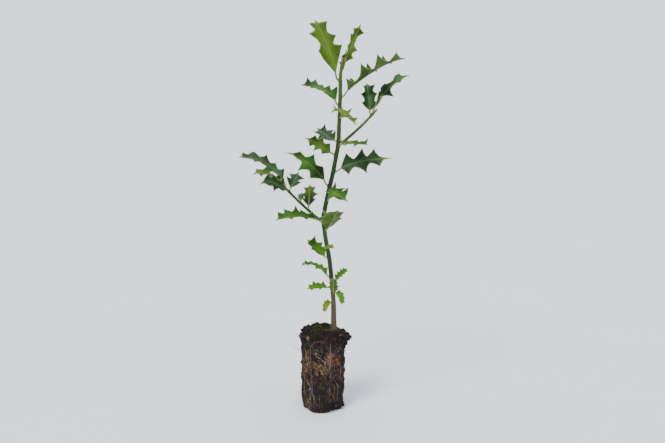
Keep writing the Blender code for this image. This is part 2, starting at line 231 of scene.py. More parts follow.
def sum_of(tree, operation, *values, clamp=False):
    """A Math node's result."""
    inputs = dict(enumerate(values))
    return put(tree, "ShaderNodeMath", inputs, operation=operation, use_clamp=clamp).outputs[0]


def ramp_between(tree, value, low, high, start=0.0, end=1.0):
    """Ease a value from start to end as it goes from low to high."""
    inputs = {"Value": value, "From Min": low, "From Max": high, "To Min": start, "To Max": end}
    return put(tree, "ShaderNodeMapRange", inputs, interpolation_type="SMOOTHSTEP").outputs[0]


def object_coords(tree):
    """The piece's own coordinates, in metres."""
    return put(tree, "ShaderNodeTexCoord").outputs["Object"]


def stored(tree, name):
    """A number that the mesh keeps at each of its points."""
    return put(tree, "ShaderNodeAttribute", attribute_name=name).outputs["Fac"]


def new_group(name, takes, gives):
    """An empty node group with named inputs and outputs."""
    group = bpy.data.node_groups.new(name, "ShaderNodeTree")
    for label, kind, value in takes:
        socket = group.interface.new_socket(name=label, in_out="INPUT", socket_type=kind)
        if value is not None:
            socket.default_value = value
    for label, kind in gives:
        group.interface.new_socket(name=label, in_out="OUTPUT", socket_type=kind)
    return group, group.nodes.new("NodeGroupInput"), group.nodes.new("NodeGroupOutput")


def use_group(tree, group, inputs):
    """Place a node group in a tree with its own values."""
    return put(tree, "ShaderNodeGroup", inputs, node_tree=group).outputs


def new_finish(name, roughness, specular):
    """A material with its shader, ready for nodes."""
    finish = bpy.data.materials.new(name)
    finish.use_nodes = True
    tree = finish.node_tree
    shader = tree.nodes["Principled BSDF"]
    shader.inputs["Roughness"].default_value = roughness
    shader.inputs["Specular IOR Level"].default_value = specular
    return finish, tree, shader


# %% [markdown]
# Leaf, bark and compost all need blotches and fine grain, so both are node groups. `blotches`
# puts out a mask, `grain` puts out a bumped normal, and `patch` marks a ragged round place.

# %% Shared effects as node groups
FLOAT = "NodeSocketFloat"
VECTOR = "NodeSocketVector"

blotches, taken, given = new_group(
    "blotches",
    [("Vector", VECTOR, None), ("Scale", FLOAT, 100.0), ("Detail", FLOAT, 3.0),
     ("Low", FLOAT, 0.35), ("High", FLOAT, 0.65)],
    [("Mask", FLOAT)],
)
cloud = put(blotches, "ShaderNodeTexNoise", {
    "Vector": taken.outputs["Vector"], "Scale": taken.outputs["Scale"],
    "Detail": taken.outputs["Detail"], "Roughness": 0.6})
mask = ramp_between(blotches, cloud.outputs["Fac"], taken.outputs["Low"], taken.outputs["High"])
blotches.links.new(mask, given.inputs["Mask"])

grain, taken, given = new_group(
    "grain",
    [("Vector", VECTOR, None), ("Scale", FLOAT, 1000.0), ("Height", FLOAT, 0.0001),
     ("Strength", FLOAT, 0.5)],
    [("Normal", VECTOR)],
)
cloud = put(grain, "ShaderNodeTexNoise", {
    "Vector": taken.outputs["Vector"], "Scale": taken.outputs["Scale"], "Detail": 4.0,
    "Roughness": 0.65})
bump = put(grain, "ShaderNodeBump", {
    "Height": cloud.outputs["Fac"], "Distance": taken.outputs["Height"],
    "Strength": taken.outputs["Strength"]})
grain.links.new(bump.outputs["Normal"], given.inputs["Normal"])

patch, taken, given = new_group(
    "patch",
    [("Vector", VECTOR, None), ("Centre", VECTOR, (0.0, 0.0, 0.0)), ("Reach", FLOAT, 0.01),
     ("Raggedness", FLOAT, 0.5)],
    [("Mask", FLOAT)],
)
cloud = put(patch, "ShaderNodeTexNoise", {
    "Vector": taken.outputs["Vector"], "Scale": 420.0, "Detail": 4.0, "Roughness": 0.7})
apart = put(patch, "ShaderNodeVectorMath", {
    0: taken.outputs["Vector"], 1: taken.outputs["Centre"]}, operation="DISTANCE")
near = sum_of(patch, "DIVIDE", apart.outputs["Value"], taken.outputs["Reach"])
torn = sum_of(patch, "SUBTRACT", cloud.outputs["Fac"], 0.5)
torn = sum_of(patch, "MULTIPLY_ADD", torn, taken.outputs["Raggedness"], near)
mask = ramp_between(patch, torn, 1.0, 0.45)
patch.links.new(mask, given.inputs["Mask"])
print("groups:", [group.name for group in bpy.data.node_groups])


def blotch_mask(tree, coords, scale, low=0.35, high=0.65):
    """The mask of the blotches group."""
    inputs = {"Vector": coords, "Scale": scale, "Low": low, "High": high}
    return use_group(tree, blotches, inputs)["Mask"]


def add_grain(tree, shader, coords, scale, height, strength=0.5):
    """Roughen a finish with fine grain."""
    inputs = {"Vector": coords, "Scale": scale, "Height": height, "Strength": strength}
    tree.links.new(use_group(tree, grain, inputs)["Normal"], shader.inputs["Normal"])


def two_shade_finish(name, roughness, specular, first, second, spots, rough=None):
    """A finish in two shades. spots is the scale, low and high of its blotches, and rough the
    scale and height of its grain."""
    finish, tree, shader = new_finish(name, roughness, specular)
    coords = object_coords(tree)
    shade = blend_colour(tree, blotch_mask(tree, coords, *spots), first, second)
    tree.links.new(shade, shader.inputs["Base Color"])
    if rough:
        add_grain(tree, shader, coords, *rough)
    return finish


# %% [markdown]
# The floor is one large plane, extruded down to a slab so that it is closed. It is stage, not
# plant. Its finish is a matt pale card with a very faint tone, as the photograph's floor has.

# %% Floor
FLOOR_SIZE = 60.0
FLOOR_DEPTH = 0.02

bpy.ops.mesh.primitive_plane_add(size=FLOOR_SIZE)
floor = bpy.context.object
floor.name = "floor"
bpy.ops.object.mode_set(mode="EDIT")
bpy.ops.mesh.extrude_region_move(TRANSFORM_OT_translate={"value": (0.0, 0.0, -FLOOR_DEPTH)})
bpy.ops.mesh.select_all(action="SELECT")
bpy.ops.mesh.normals_make_consistent(inside=False)
bpy.ops.object.mode_set(mode="OBJECT")

floor.data.materials.append(two_shade_finish(
    "pale_card", 0.85, 0.5, (0.78, 0.80, 0.83), (0.76, 0.78, 0.82), (3.0, 0.2, 0.8)))
print("floor:", FLOOR_SIZE, "m")

# %% [markdown]
# ## Stem and shoots
#
# The stem is one tapering limb with a small flare at its foot. Its stations give height, place to
# the right, place away, and radius, as measured. The shoots start on it and curve outwards.

# %% Sizes of the limbs
GAP = 0.0003
BALL_HEIGHT = 0.092

Station = namedtuple("Station", "height right away radius")
STEM = (
    Station(BALL_HEIGHT + GAP, 0.0129, 0.0030, 0.00420),
    Station(0.0960, 0.0129, 0.0030, 0.00350),
    Station(0.1060, 0.0127, 0.0026, 0.00320),
    Station(0.1200, 0.0126, 0.0018, 0.00310),
    Station(0.1300, 0.0122, 0.0010, 0.00270),
    Station(0.1490, 0.0106, 0.0000, 0.00255),
    Station(0.1670, 0.0088, -0.0010, 0.00250),
    Station(0.1800, 0.0072, -0.0010, 0.00240),
    Station(0.1940, 0.0044, -0.0005, 0.00235),
    Station(0.2100, 0.0020, 0.0005, 0.00235),
    Station(0.2240, 0.0009, 0.0015, 0.00260),
    Station(0.2370, 0.0027, 0.0018, 0.00235),
    Station(0.2550, 0.0065, 0.0010, 0.00235),
    Station(0.2740, 0.0110, -0.0005, 0.00230),
    Station(0.2930, 0.0148, -0.0015, 0.00225),
    Station(0.3110, 0.0178, -0.0020, 0.00235),
    Station(0.3300, 0.0186, -0.0015, 0.00205),
    Station(0.3530, 0.0196, -0.0005, 0.00200),
    Station(0.3720, 0.0200, 0.0005, 0.00190),
    Station(0.3860, 0.0203, 0.0010, 0.00170),
    Station(0.3980, 0.0216, 0.0010, 0.00120),
)

Shoot = namedtuple("Shoot", "name at bearing rise length lift swing foot_radius tip_radius")
SHOOTS = (
    Shoot("left_shoot", 0.2235, 174.0, 40.0, 0.0600, 4.0, -12.0, 0.00150, 0.00110),
    Shoot("right_shoot", 0.3120, 352.0, 38.0, 0.0500, 10.0, 8.0, 0.00145, 0.00120),
)
LIMB_STEP = 0.001
print("stem:", STEM[0].height, "to", STEM[-1].height, "m")


# %% Centre lines of the limbs
class Limb:
    """A round limb: the points of its centre line, a radius and a mark at each."""

    def __init__(self, name, points, radii, marks):
        self.name = name
        self.points = points
        self.radii = radii
        self.marks = marks

    def seat(self, mark):
        """Centre, direction and radius of the limb at a mark."""
        last = len(self.marks) - 1
        row = 0
        while row < last - 1 and self.marks[row + 1] < mark:
            row += 1
        span = self.marks[row + 1] - self.marks[row]
        share = min(1.0, max(0.0, (mark - self.marks[row]) / span))
        centre = self.points[row].lerp(self.points[row + 1], share)
        along = (self.points[row + 1] - self.points[row]).normalized()
        return centre, along, mix(self.radii[row], self.radii[row + 1], share)


def make_stem():
    """The stem's centre line, marked by height."""
    rows = [Vector((station.right, station.away, station.height)) for station in STEM]
    points = []
    widths = []
    for row in range(len(STEM) - 1):
        steps = max(1, round((STEM[row + 1].height - STEM[row].height) / LIMB_STEP))
        for step in range(steps):
            points.append(curve_through(rows, row + step / steps))
            widths.append(mix(STEM[row].radius, STEM[row + 1].radius, step / steps))
    points.append(rows[-1])
    widths.append(STEM[-1].radius)
    return Limb("stem", points, widths, [point.z for point in points])


def make_shoot(shoot, parent):
    """A side shoot's centre line, marked by the distance from its foot."""
    centre, _, radius = parent.seat(shoot.at)
    count = round(shoot.length / LIMB_STEP)
    points = [centre + direction(shoot.bearing, 0.0) * (radius + GAP)]
    for step in range(count):
        share = step / count
        heading = direction(shoot.bearing + shoot.swing * share, shoot.rise + shoot.lift * share)
        if step < 3:
            heading = direction(shoot.bearing, 0.0)
        points.append(points[-1] + heading * LIMB_STEP)
    radii = [mix(shoot.foot_radius, shoot.tip_radius, step / count) for step in range(count + 1)]
    return Limb(shoot.name, points, radii, [step * LIMB_STEP for step in range(count + 1)])


stem = make_stem()
limbs = {"stem": stem}
for shoot in SHOOTS:
    limbs[shoot.name] = make_shoot(shoot, stem)
print("limbs:", {name: len(limb.points) for name, limb in limbs.items()})

# %% [markdown]
# ## Where the leaves sit
#
# The table began as the one in the source of the solids. Most rows were then set closer to the
# photograph, so some leaves stand apart from their solids. It comes before the bark, because each
# leaf stands on a small cushion of the stem, and the bark needs to know where those are.
#
# `at` is the height on the stem, or the distance along a shoot. `stalk` is the rise at the foot,
# which gives way to `rise`. `lift`, `swing` and `curl` bend the midrib on its way to the tip.
# `roll` and `twist` turn the blade about it, `fold` lifts both halves, and `wave` lifts and
# lowers the pairs of spines by turns. `bay` and `wedge` shape the outline between the spines.

# %% The leaf table
Leaf = namedtuple(
    "Leaf",
    "name limb at bearing stalk rise length width lift swing curl roll twist "
    "fold wave pairs bay wedge taper",
    defaults=(0.5,),
)
TRUNK = "stem"
LEFT = "left_shoot"
RIGHT = "right_shoot"
LEAVES = (
    Leaf("top_left", TRUNK, .380, 174, 85, 78, .0722, .036, -16, 0, -4, -52, -10, 12,
         12, 3, .46, .9),
    Leaf("top_right", TRUNK, .395, 35, 75, 66, .057, .023, -5, 0, 0, 100, -30, 18, 15, 4, .48, .7),
    Leaf("apex_young", TRUNK, .391, 40, 70, 76, .027, .012, 0, 0, 0, 0, 0, 25, 10, 2, .5, .7),
    Leaf("long_right", TRUNK, .362, 349, 75, 38, .083, .033, -12, 0, -22, 0, 0, 25, 30,
         7, .66, .6),
    Leaf("upper_left", TRUNK, .353, 159, 105, 53, .055, .030, -55, 0, 0, -40, 0, 20,
         20, 5, .42, .7),
    Leaf("high_front", TRUNK, .347, 258, 20, -5, .052, .025, -35, 75, 0, 0, 0, 20, 25, 5, .48, .6),
    Leaf("shoot_back", RIGHT, .046, 96, 70, 68, .046, .030, -10, 0, -40, 0, 0, 20, 15, 3, .52, .7),
    Leaf("shoot_right", RIGHT, .049, 323, 65, 57, .063, .028, -28, 0, -25, 66, 0, 20,
         32, 4, .56, 1.2, .8),
    Leaf("mid_back", TRUNK, .312, 126, 20, 18, .044, .028, 8, 0, 0, -35, 0, 15, 22, 3, .42, .6),
    Leaf("mid_left", TRUNK, .2975, 209, 15, 47, .042, .022, -35, 0, 0, -105, 0, 25, 12,
         3, .40, .8),
    Leaf("mid_right", TRUNK, .308, 308, 50, 4, .050, .025, -12, 0, 0, 20, 0, 20, 24, 5, .42, .6),
    Leaf("dark_right", TRUNK, .279, 345, 60, 24, .068, .032, -24, 0, 0, 75, 0, 12, 12,
         3, .30, .55),
    Leaf("mid_front", TRUNK, .257, 272, 30, 5, .048, .028, -35, 55, 0, 30, 0, 15, 22, 3, .40, .5),
    Leaf("mid_long", TRUNK, .262, 197, 85, 55, .065, .037, -28, 0, -25, -115, 30, 28,
         10, 3, .36, .8, 1.8),
    Leaf("low_left", TRUNK, .2215, 207, 45, 22, .059, .025, -32, 0, -15, -35, 0, 25,
         20, 5, .44, .6),
    Leaf("low_front", TRUNK, .211, 299, 50, 43, .039, .031, 0, 0, 0, -8, 0, 20, 10, 4, .62, .9),
    Leaf("end_far", LEFT, .058, 172, 67, 66, .070, .026, -72, 0, 0, -40, 0, 20, 30, 5, .38, .7),
    Leaf("end_front", LEFT, .056, 213, 45, 44, .048, .022, -20, 0, -60, -35, 0, 15, 25,
         4, .50, .7),
    Leaf("end_low", LEFT, .051, 236, 25, 27, .053, .024, -10, 0, -50, -70, 0, 18, 18, 3, .44, .6),
    Leaf("shoot_up_back", LEFT, .051, 70, 50, 36, .036, .023, 0, 0, 0, 25, 0, 15, 15, 2, .42, .8),
    Leaf("shoot_up_front", LEFT, .020, 277, 60, 52, .039, .020, 0, 0, 0, 0, 0, 15, 15, 3, .50, .8),
    Leaf("shoot_small", LEFT, .032, 279, 60, 44, .018, .010, 0, 0, 0, 0, 0, 15, 15, 2, .50, .7),
    Leaf("foot_left_high", TRUNK, .179, 141, 40, 31, .037, .027, 0, 0, 0, -20, 0, 20,
         18, 3, .50, .8),
    Leaf("foot_small", TRUNK, .193, 262, 10, 8, .024, .012, -10, 70, 0, 30, 0, 20, 15, 3, .50, .6),
    Leaf("foot_left_mid", TRUNK, .156, 158, 65, 66, .043, .021, -95, 0, 0, -10, 0, 20,
         18, 5, .45, .7),
    Leaf("foot_left_low", TRUNK, .1442, 203, 25, 24, .030, .016, -42, 0, 0, -30, 0, 15,
         14, 4, .50, .7),
    Leaf("foot_front", TRUNK, .137, 268, 60, 66, .026, .014, 0, 0, 0, 0, 0, 15, 10, 4, .62, .7),
    Leaf("foot_right_high", TRUNK, .151, 38, 40, 36, .025, .015, -10, 0, 0, 40, 0, 15,
         12, 4, .45, .7),
    Leaf("foot_right_low", TRUNK, .138, 312, 40, 30, .023, .010, -150, 0, 0, 50, 0, 15,
         8, 4, .66, .7),
    Leaf("foot_lowest", TRUNK, .127, 232, 50, 42, .021, .009, -150, 0, 0, -40, 0, 15,
         8, 4, .66, .7),
)
print("leaves:", len(LEAVES))

# %% [markdown]
# ## Bark
#
# A limb is modelled as by hand: a filled circle is added at the foot and extruded ring by ring
# along the centre line, and each new ring is set to its size. The ring's points carry their
# number in a layer, so that each knows its side of the limb after every extrusion. The relief
# is part of the ring's size: shallow ridges, a little unevenness, and a cushion under each leaf.


# %% Extrude a limb ring by ring
def extrude_rings(name, sides, rings):
    """Extrude a filled circle through rings of points and close it."""
    deselect()
    bpy.ops.mesh.primitive_circle_add(vertices=sides, radius=0.001, fill_type="NGON")
    piece = bpy.context.object
    piece.name = name
    bpy.ops.object.mode_set(mode="EDIT")
    body = bmesh.from_edit_mesh(piece.data)
    step = body.verts.layers.int.new("step")
    for corner in body.verts:
        corner[step] = round(math.atan2(corner.co.y, corner.co.x) / math.tau * sides) % sides
    for row, ring in enumerate(rings):
        if row:
            bpy.ops.mesh.extrude_region_move()
        body = bmesh.from_edit_mesh(piece.data)
        step = body.verts.layers.int["step"]
        for corner in body.verts:
            if corner.select:
                corner.co = ring[corner[step]]
        bmesh.update_edit_mesh(piece.data)
    bpy.ops.mesh.select_all(action="SELECT")
    bpy.ops.mesh.normals_make_consistent(inside=False)
    bpy.ops.object.mode_set(mode="OBJECT")
    piece.data.attributes.remove(piece.data.attributes["step"])
    return piece


# %% Relief of the bark
BARK_SIDES = 28
RIDGES = 5
RIDGE_HEIGHT = 0.00010
UNEVENNESS = 0.00016
CUSHION_HEIGHT = 0.00065
CUSHION_SPREAD = 0.0016
CORK_TOP = 0.150
CORK_HEIGHT = 0.00022
BARK_THICKNESS = 0.00025


def limb_frame(along):
    """Two directions across a limb, the first to the right or up, the second away."""
    away = square_to(along, Vector((0.0, 1.0, 0.0)))
    return away.cross(along), away


def bark_rings(limb):
    """Rings of points round a limb, with the relief of its bark."""
    cushions = []
    for leaf in LEAVES:
        if leaf.limb == limb.name:
            centre, along, radius = limb.seat(leaf.at)
            outward = square_to(along, direction(leaf.bearing, leaf.rise))
            cushions.append(centre + outward * radius - along * 0.0008)
    for shoot in SHOOTS:
        if limb.name == TRUNK:
            centre, along, radius = limb.seat(shoot.at)
            cushions.append(centre + direction(shoot.bearing, 0.0) * radius)
    rings = []
    last = len(limb.points) - 1
    for row, point in enumerate(limb.points):
        along = (limb.points[min(row + 1, last)] - limb.points[max(row - 1, 0)]).normalized()
        right, away = limb_frame(along)
        ring = []
        for corner in range(BARK_SIDES):
            turn = math.tau * corner / BARK_SIDES
            out = right * math.cos(turn) + away * math.sin(turn)
            swell = BARK_THICKNESS * smooth((point.z - CORK_TOP) / 0.04)
            spot = point + out * (limb.radii[row] + swell)
            relief = RIDGE_HEIGHT * math.cos(RIDGES * turn + 25.0 * limb.marks[row])
            relief += UNEVENNESS * noise.noise(spot * 260.0)
            cork = smooth((CORK_TOP - spot.z) / 0.03)
            relief += CORK_HEIGHT * cork * max(0.0, noise.noise(spot * 900.0) - 0.15)
            for cushion in cushions:
                apart = (spot - cushion).length
                if apart < 3 * CUSHION_SPREAD:
                    relief += CUSHION_HEIGHT * math.exp(-(apart / CUSHION_SPREAD) ** 2)
            ring.append(spot + out * relief)
        rings.append(ring)
    return rings


bark_pieces = []
for limb in limbs.values():
    piece = extrude_rings(limb.name + "_bark", BARK_SIDES, bark_rings(limb))
    bpy.ops.object.shade_smooth_by_angle(angle=math.radians(50.0))
    bark_pieces.append(piece)
    settle(piece, "bark", limb.name)

# %% [markdown]
# Young holly bark is green and only the foot is brown. The colour follows the height, with
# blotches so that no band shows. Long fine streaks run up the stem, which is the same noise
# squeezed along Z. The shoots are younger, so theirs is a paler and more olive copy.

# %% Finish of the bark
bark_finish, tree, shader = new_finish("young_bark", 0.48, specular=0.22)
coords = object_coords(tree)
height = put(tree, "ShaderNodeSeparateXYZ", {"Vector": coords}).outputs["Z"]
wobble = put(tree, "ShaderNodeTexNoise", {"Vector": coords, "Scale": 55.0, "Detail": 3.0})
height = sum_of(tree, "MULTIPLY_ADD", wobble.outputs["Fac"], 0.030, height)
bands = put(tree, "ShaderNodeValToRGB", {
    "Fac": ramp_between(tree, height, 0.105, 0.425)})
BARK_BANDS = (
    (0.00, (0.120, 0.082, 0.050)),
    (0.02, (0.115, 0.084, 0.044)),
    (0.06, (0.050, 0.050, 0.012)),
    (0.15, (0.022, 0.034, 0.005)),
    (0.26, (0.020, 0.060, 0.003)),
    (0.38, (0.016, 0.052, 0.003)),
    (0.56, (0.010, 0.028, 0.002)),
    (0.82, (0.032, 0.056, 0.003)),
    (0.95, (0.050, 0.078, 0.005)),
    (1.00, (0.080, 0.120, 0.010)),
)
ramp = bands.color_ramp
while len(ramp.elements) < len(BARK_BANDS):
    ramp.elements.new(0.5)
for element, (place, shade) in zip(ramp.elements, BARK_BANDS):
    element.position = place
    element.color = (*shade, 1.0)
squeezed = put(tree, "ShaderNodeMapping", {"Vector": coords, "Scale": (1.0, 1.0, 0.12)})
streaked = squeezed.outputs["Vector"]
streak = blotch_mask(tree, streaked, 1400.0, 0.40, 0.75)
dots = blotch_mask(tree, coords, 1500.0, 0.66, 0.72)
shade = blend_colour(tree, streak, bands.outputs["Color"], (0.45, 0.48, 0.35), "MULTIPLY")
cork = ramp_between(tree, height, 0.17, 0.13)
dotted = sum_of(tree, "MULTIPLY", dots, cork)
shade = blend_colour(tree, dotted, shade, (0.30, 0.22, 0.14))
tree.links.new(shade, shader.inputs["Base Color"])
tree.links.new(ramp_between(tree, height, 0.14, 0.22, 0.80, 0.42), shader.inputs["Roughness"])
add_grain(tree, shader, streaked, 2600.0, 0.00012, 0.6)

shoot_finish = bark_finish.copy()
shoot_finish.name = "shoot_bark"
SHOOT_RED = 1.7
SHOOT_GREEN = 1.4
for element in shoot_finish.node_tree.nodes[bands.name].color_ramp.elements:
    red, green, blue, _ = element.color
    element.color = (red * SHOOT_RED, green * SHOOT_GREEN, blue, 1.0)
for piece in bark_pieces:
    piece.data.materials.append(shoot_finish if "shoot" in piece.name else bark_finish)
    print(piece.name, "takes", piece.data.materials[0].name)

# %% [markdown]
# ## Buds
#
# A bud is a pointed body wrapped in scales. The body is extruded ring by ring like a limb. One
# scale is a small grid, bent round the body and closed to a point, with a wall from Solidify.
# Six scales in two whorls overlap like roof tiles, and then all of it is joined to one piece.

# %% Sizes of the buds
Bud = namedtuple("Bud", "name limb length radius")
BUDS = (
    Bud("top_bud", "stem", 0.0085, 0.00130),
    Bud("left_bud", "left_shoot", 0.0045, 0.00115),
    Bud("right_bud", "right_shoot", 0.0060, 0.00130),
)
BUD_FOOT = 0.72
BUD_SWELL = 0.90
BUD_CLOSE = 1.58
BUD_CLOSE_POWER = 2.2
BUD_RINGS = 18
SCALE_WALL = 0.00014


def bud_radius(bud, share):
    """A bud's radius at a share of its length."""
    swell = BUD_FOOT + BUD_SWELL * share - BUD_CLOSE * max(share, 0.0) ** BUD_CLOSE_POWER
    return bud.radius * max(0.03, swell)


def bud_place(bud):
    """The foot of a bud and three directions: along it and two across."""
    limb = limbs[bud.limb]
    along = (limb.points[-1] - limb.points[-2]).normalized()
    right, away = limb_frame(along)
    return limb.points[-1], along, right, away


# %% Model the buds
def make_scale(bud, turn, low, high, spread):
    """One bud scale, from low to high along the bud, round it by spread."""
    foot, along, right, away = bud_place(bud)
    deselect()
    bpy.ops.mesh.primitive_grid_add(x_subdivisions=8, y_subdivisions=9, size=2.0)
    scale = bpy.context.object
    for point in scale.data.vertices:
        up = (point.co.y + 1.0) / 2.0
        closing = math.cos(up * math.pi / 2) ** 0.6
        around = turn + point.co.x * spread * closing
        share = mix(low, high, up)
        lift = 1.0 + 0.10 * (1.0 - up) + 0.06 * math.cos(point.co.x * math.pi / 2)
        out = right * math.cos(around) + away * math.sin(around)
        point.co = foot + along * bud.length * share + out * bud_radius(bud, share) * lift
    apply_modifier(scale, "SOLIDIFY", thickness=SCALE_WALL, offset=0.0)
    return scale


bud_pieces = []
for bud in BUDS:
    foot, along, right, away = bud_place(bud)
    rings = []
    for row in range(BUD_RINGS + 1):
        share = row / BUD_RINGS
        centre = foot + along * bud.length * share * 0.97
        rings.append([centre + (right * math.cos(turn) + away * math.sin(turn))
                      * bud_radius(bud, share) * 0.96
                      for turn in np.linspace(0.0, math.tau, 17)[:-1]])
    body = extrude_rings(bud.name + "_scales", 16, rings)
    scales = [make_scale(bud, math.radians(120.0 * place), -0.02, 0.62, 1.15)
              for place in range(3)]
    scales += [make_scale(bud, math.radians(120.0 * place + 60.0), 0.20, 0.93, 0.95)
               for place in range(3)]
    pick(body)
    for scale in scales:
        scale.select_set(True)
    bpy.ops.object.join()
    bpy.ops.object.shade_smooth_by_angle(angle=math.radians(50.0))
    bud_pieces.append(body)
    settle(body, "bud_scale", bud.name)

# %% Finish of the buds
bud_finish = two_shade_finish("bud_scale", 0.40, 0.25, (0.085, 0.150, 0.020),
                              (0.160, 0.220, 0.040), (700.0, 0.35, 0.70), (3000.0, 0.00006))
for piece in bud_pieces:
    piece.data.materials.append(bud_finish)
print("bud finish on", len(bud_pieces), "buds")

# %% [markdown]
# The rule of a leaf is the source's: a path for the midrib, and two directions across it at every
# place. `place` counts the pairs of spines, so it is 0 at the first pair, and the blade's wedge
# lies before that. The real margin is finer than the solid's. Between spines it is a round bay,
# and each spine ends in a thin hard point.

# %% The rule of a leaf
PETIOLE_SHARE = 0.10
PETIOLE_RADIUS = 0.00098
PETIOLE_TURN = 0.0045
STALK_SHARE = 0.30
STALK_EASING = 2
CURL_LATENESS = 4
SPINE_SWEEP = 0.30
PAIRS_AFTER = 1.15
WIDEST_AT = 0.38
WEDGE_HOLLOW = 1.25
TIP_NARROWING = 0.75
SPINE_SHARE = 0.45
PATH_STEP = 0.001


def leaf_path(leaf, limb):
    """Points, directions and bearings along a leaf's midrib, from its limb to its tip."""
    centre, along, radius = limb.seat(leaf.at)
    outward = square_to(along, direction(leaf.bearing, leaf.rise))
    count = round(leaf.length / PATH_STEP)
    points = [centre + outward * (radius + GAP)]
    headings = [outward]
    bearings = [leaf.bearing]
    for step in range(1, count + 1):
        share = step / count
        bearing = leaf.bearing + leaf.swing * share
        foot = max(0.0, 1.0 - share / STALK_SHARE) ** STALK_EASING
        rise = mix(leaf.rise, leaf.stalk, foot) + leaf.lift * share
        rise += leaf.curl * share ** CURL_LATENESS
        heading = direction(bearing, rise)
        turned = smooth(step * PATH_STEP / PETIOLE_TURN)
        heading = outward.lerp(heading, turned).normalized()
        points.append(points[-1] + heading * PATH_STEP)
        headings.append(heading)
        bearings.append(bearing)
    return points, headings, bearings


def blade_share(leaf, place):
    """How far along the blade a place in the run of spine pairs lies."""
    return (place + leaf.wedge) / (leaf.pairs - 1 + leaf.wedge + PAIRS_AFTER)


def read_path(path, share):
    """The midrib's point, direction and bearing at a share of its length."""
    points, headings, bearings = path
    place = share * (len(points) - 1)
    row = min(int(place), len(points) - 2)
    between = place - row
    point = points[row].lerp(points[row + 1], between)
    heading = headings[row].lerp(headings[row + 1], between).normalized()
    return point, heading, mix(bearings[row], bearings[row + 1], between)


def blade_frame(leaf, forward, bearing, along_share):
    """The directions to the blade's right and out of its upper face."""
    turn = math.radians(bearing)
    side = square_to(forward, Vector((math.sin(turn), -math.cos(turn), 0.0)))
    up = side.cross(forward)
    roll = math.radians(leaf.roll + leaf.twist * along_share)
    right = side * math.cos(roll) - up * math.sin(roll)
    top = up * math.cos(roll) + side * math.sin(roll)
    return right, top


def margin(leaf, place):
    """Half the blade's width at a place, the most that it may be, and how near a spine it is."""
    last = leaf.pairs - 1
    share = blade_share(leaf, min(max(place, 0.0), last))
    envelope = math.sin(math.pi * share ** (math.log(0.5) / math.log(WIDEST_AT))) ** leaf.taper
    reach = leaf.width / 2 * envelope
    if place < 0.0:
        rising = max(0.0, 1.0 + place / leaf.wedge)
        return reach * rising ** WEDGE_HOLLOW, reach, rising ** 12
    bay = leaf.bay
    from_bay = abs((place % 1.0) * 2.0 - 1.0)
    if place > last:
        beyond = (place - last) / PAIRS_AFTER
        bay *= TIP_NARROWING * (1.0 - beyond)
        from_bay = max(0.0, 1.0 - beyond / SPINE_SHARE)
    spine = 0.76 * from_bay ** 1.35 + 0.24 * from_bay ** 7
    return reach * (bay + (1.0 - bay) * spine), reach, from_bay


# %% [markdown]
# No two spines on a real leaf are alike, and on the large leaves the photograph shows how each
# one stands. A row here holds, for one side of a leaf, how far each spine reaches beside the
# rule's width, and how far it slides towards the tip in millimetres. A side with no row gets
# small differences from a seeded random source, and these also bend its spines up or down.

# %% Each spine's own reach, slide and lift
Spines = namedtuple("Spines", "leaf hand reach slide")
SPINES = (
    Spines("top_left", -1, (1.35, .95, .95), (7, 16, 11)),
    Spines("top_left", 1, (.95, .9, .8), (11, 7, 8)),
    Spines("top_right", -1, (.5, .5, .95, .8), (0, 0, 0, 0)),
    Spines("top_right", 1, (.8, .85, .3, 1), (0, 0, 0, 1)),
    Spines("long_right", -1, (1, .45, 1, .9, 1, .9, 1), (3, -2, 5, 0, 4, 0, 0)),
    Spines("long_right", 1, (1, .45, 1, .9, 1.05, 1, 1), (0, -2, 0, 0, 0, 0, 0)),
    Spines("upper_left", -1, (1.2, .35, .6, .5, .9), (3, 0, 0, 0, 0)),
    Spines("upper_left", 1, (1, .8, .4, 1, 1), (2, 1, 0, 1, 0)),
    Spines("high_front", -1, (.6, .8, 1, .8, 1), (0, 0, 0, 0, 0)),
    Spines("shoot_back", -1, (.8, .65, .5), (-3, 0, 1)),
    Spines("shoot_back", 1, (.95, .75, .8), (-5, 0, 0)),
    Spines("shoot_right", -1, (.5, 1.3, .35, 1.6), (3, -5, 0, -6)),
    Spines("shoot_right", 1, (.8, 1, .35, .6), (2, 0, 0, -2)),
    Spines("mid_right", -1, (.5, .8, .5, .8, 1), (0, 0, 0, 0, 0)),
    Spines("dark_right", -1, (1, 1, .95), (0, -1, -4)),
    Spines("dark_right", 1, (1.15, 1, .85), (-4, 0, 2)),
    Spines("mid_front", -1, (1, 1.1, 1.2), (3, 1, 1)),
    Spines("mid_front", 1, (.65, 1, 1), (2, 2, 2)),
    Spines("mid_long", -1, (1, .9, .45), (0, 2, 0)),
    Spines("mid_long", 1, (.8, .75, .9), (0, 0, 0)),
    Spines("low_left", -1, (.8, .7, .8, .7, .9), (0, 0, 0, 0, 0)),
    Spines("low_left", 1, (.8, .9, 1, 1.2, 1), (0, 2, 0, 1, 2)),
    Spines("end_far", -1, (1, 1, .8, .5, .6), (0, 0, 0, 0, 0)),
    Spines("end_far", 1, (.9, .8, .8, 1.35, .7), (0, 0, 1, 6, 6)),
    Spines("foot_right_high", 1, (.5, .6, .6, .7), (0, 0, 0, 0)),
    Spines("foot_left_high", -1, (1, .6, .8), (0, 0, 0)),
    Spines("foot_left_high", 1, (.8, 1, 1), (0, 0, 2)),
    Spines("foot_left_mid", 1, (.8, .9, .45, 1, 1), (0, 0, 0, 0, 0)),
)
SPINE_SPREAD = (0.10, 0.0006, 5.0)


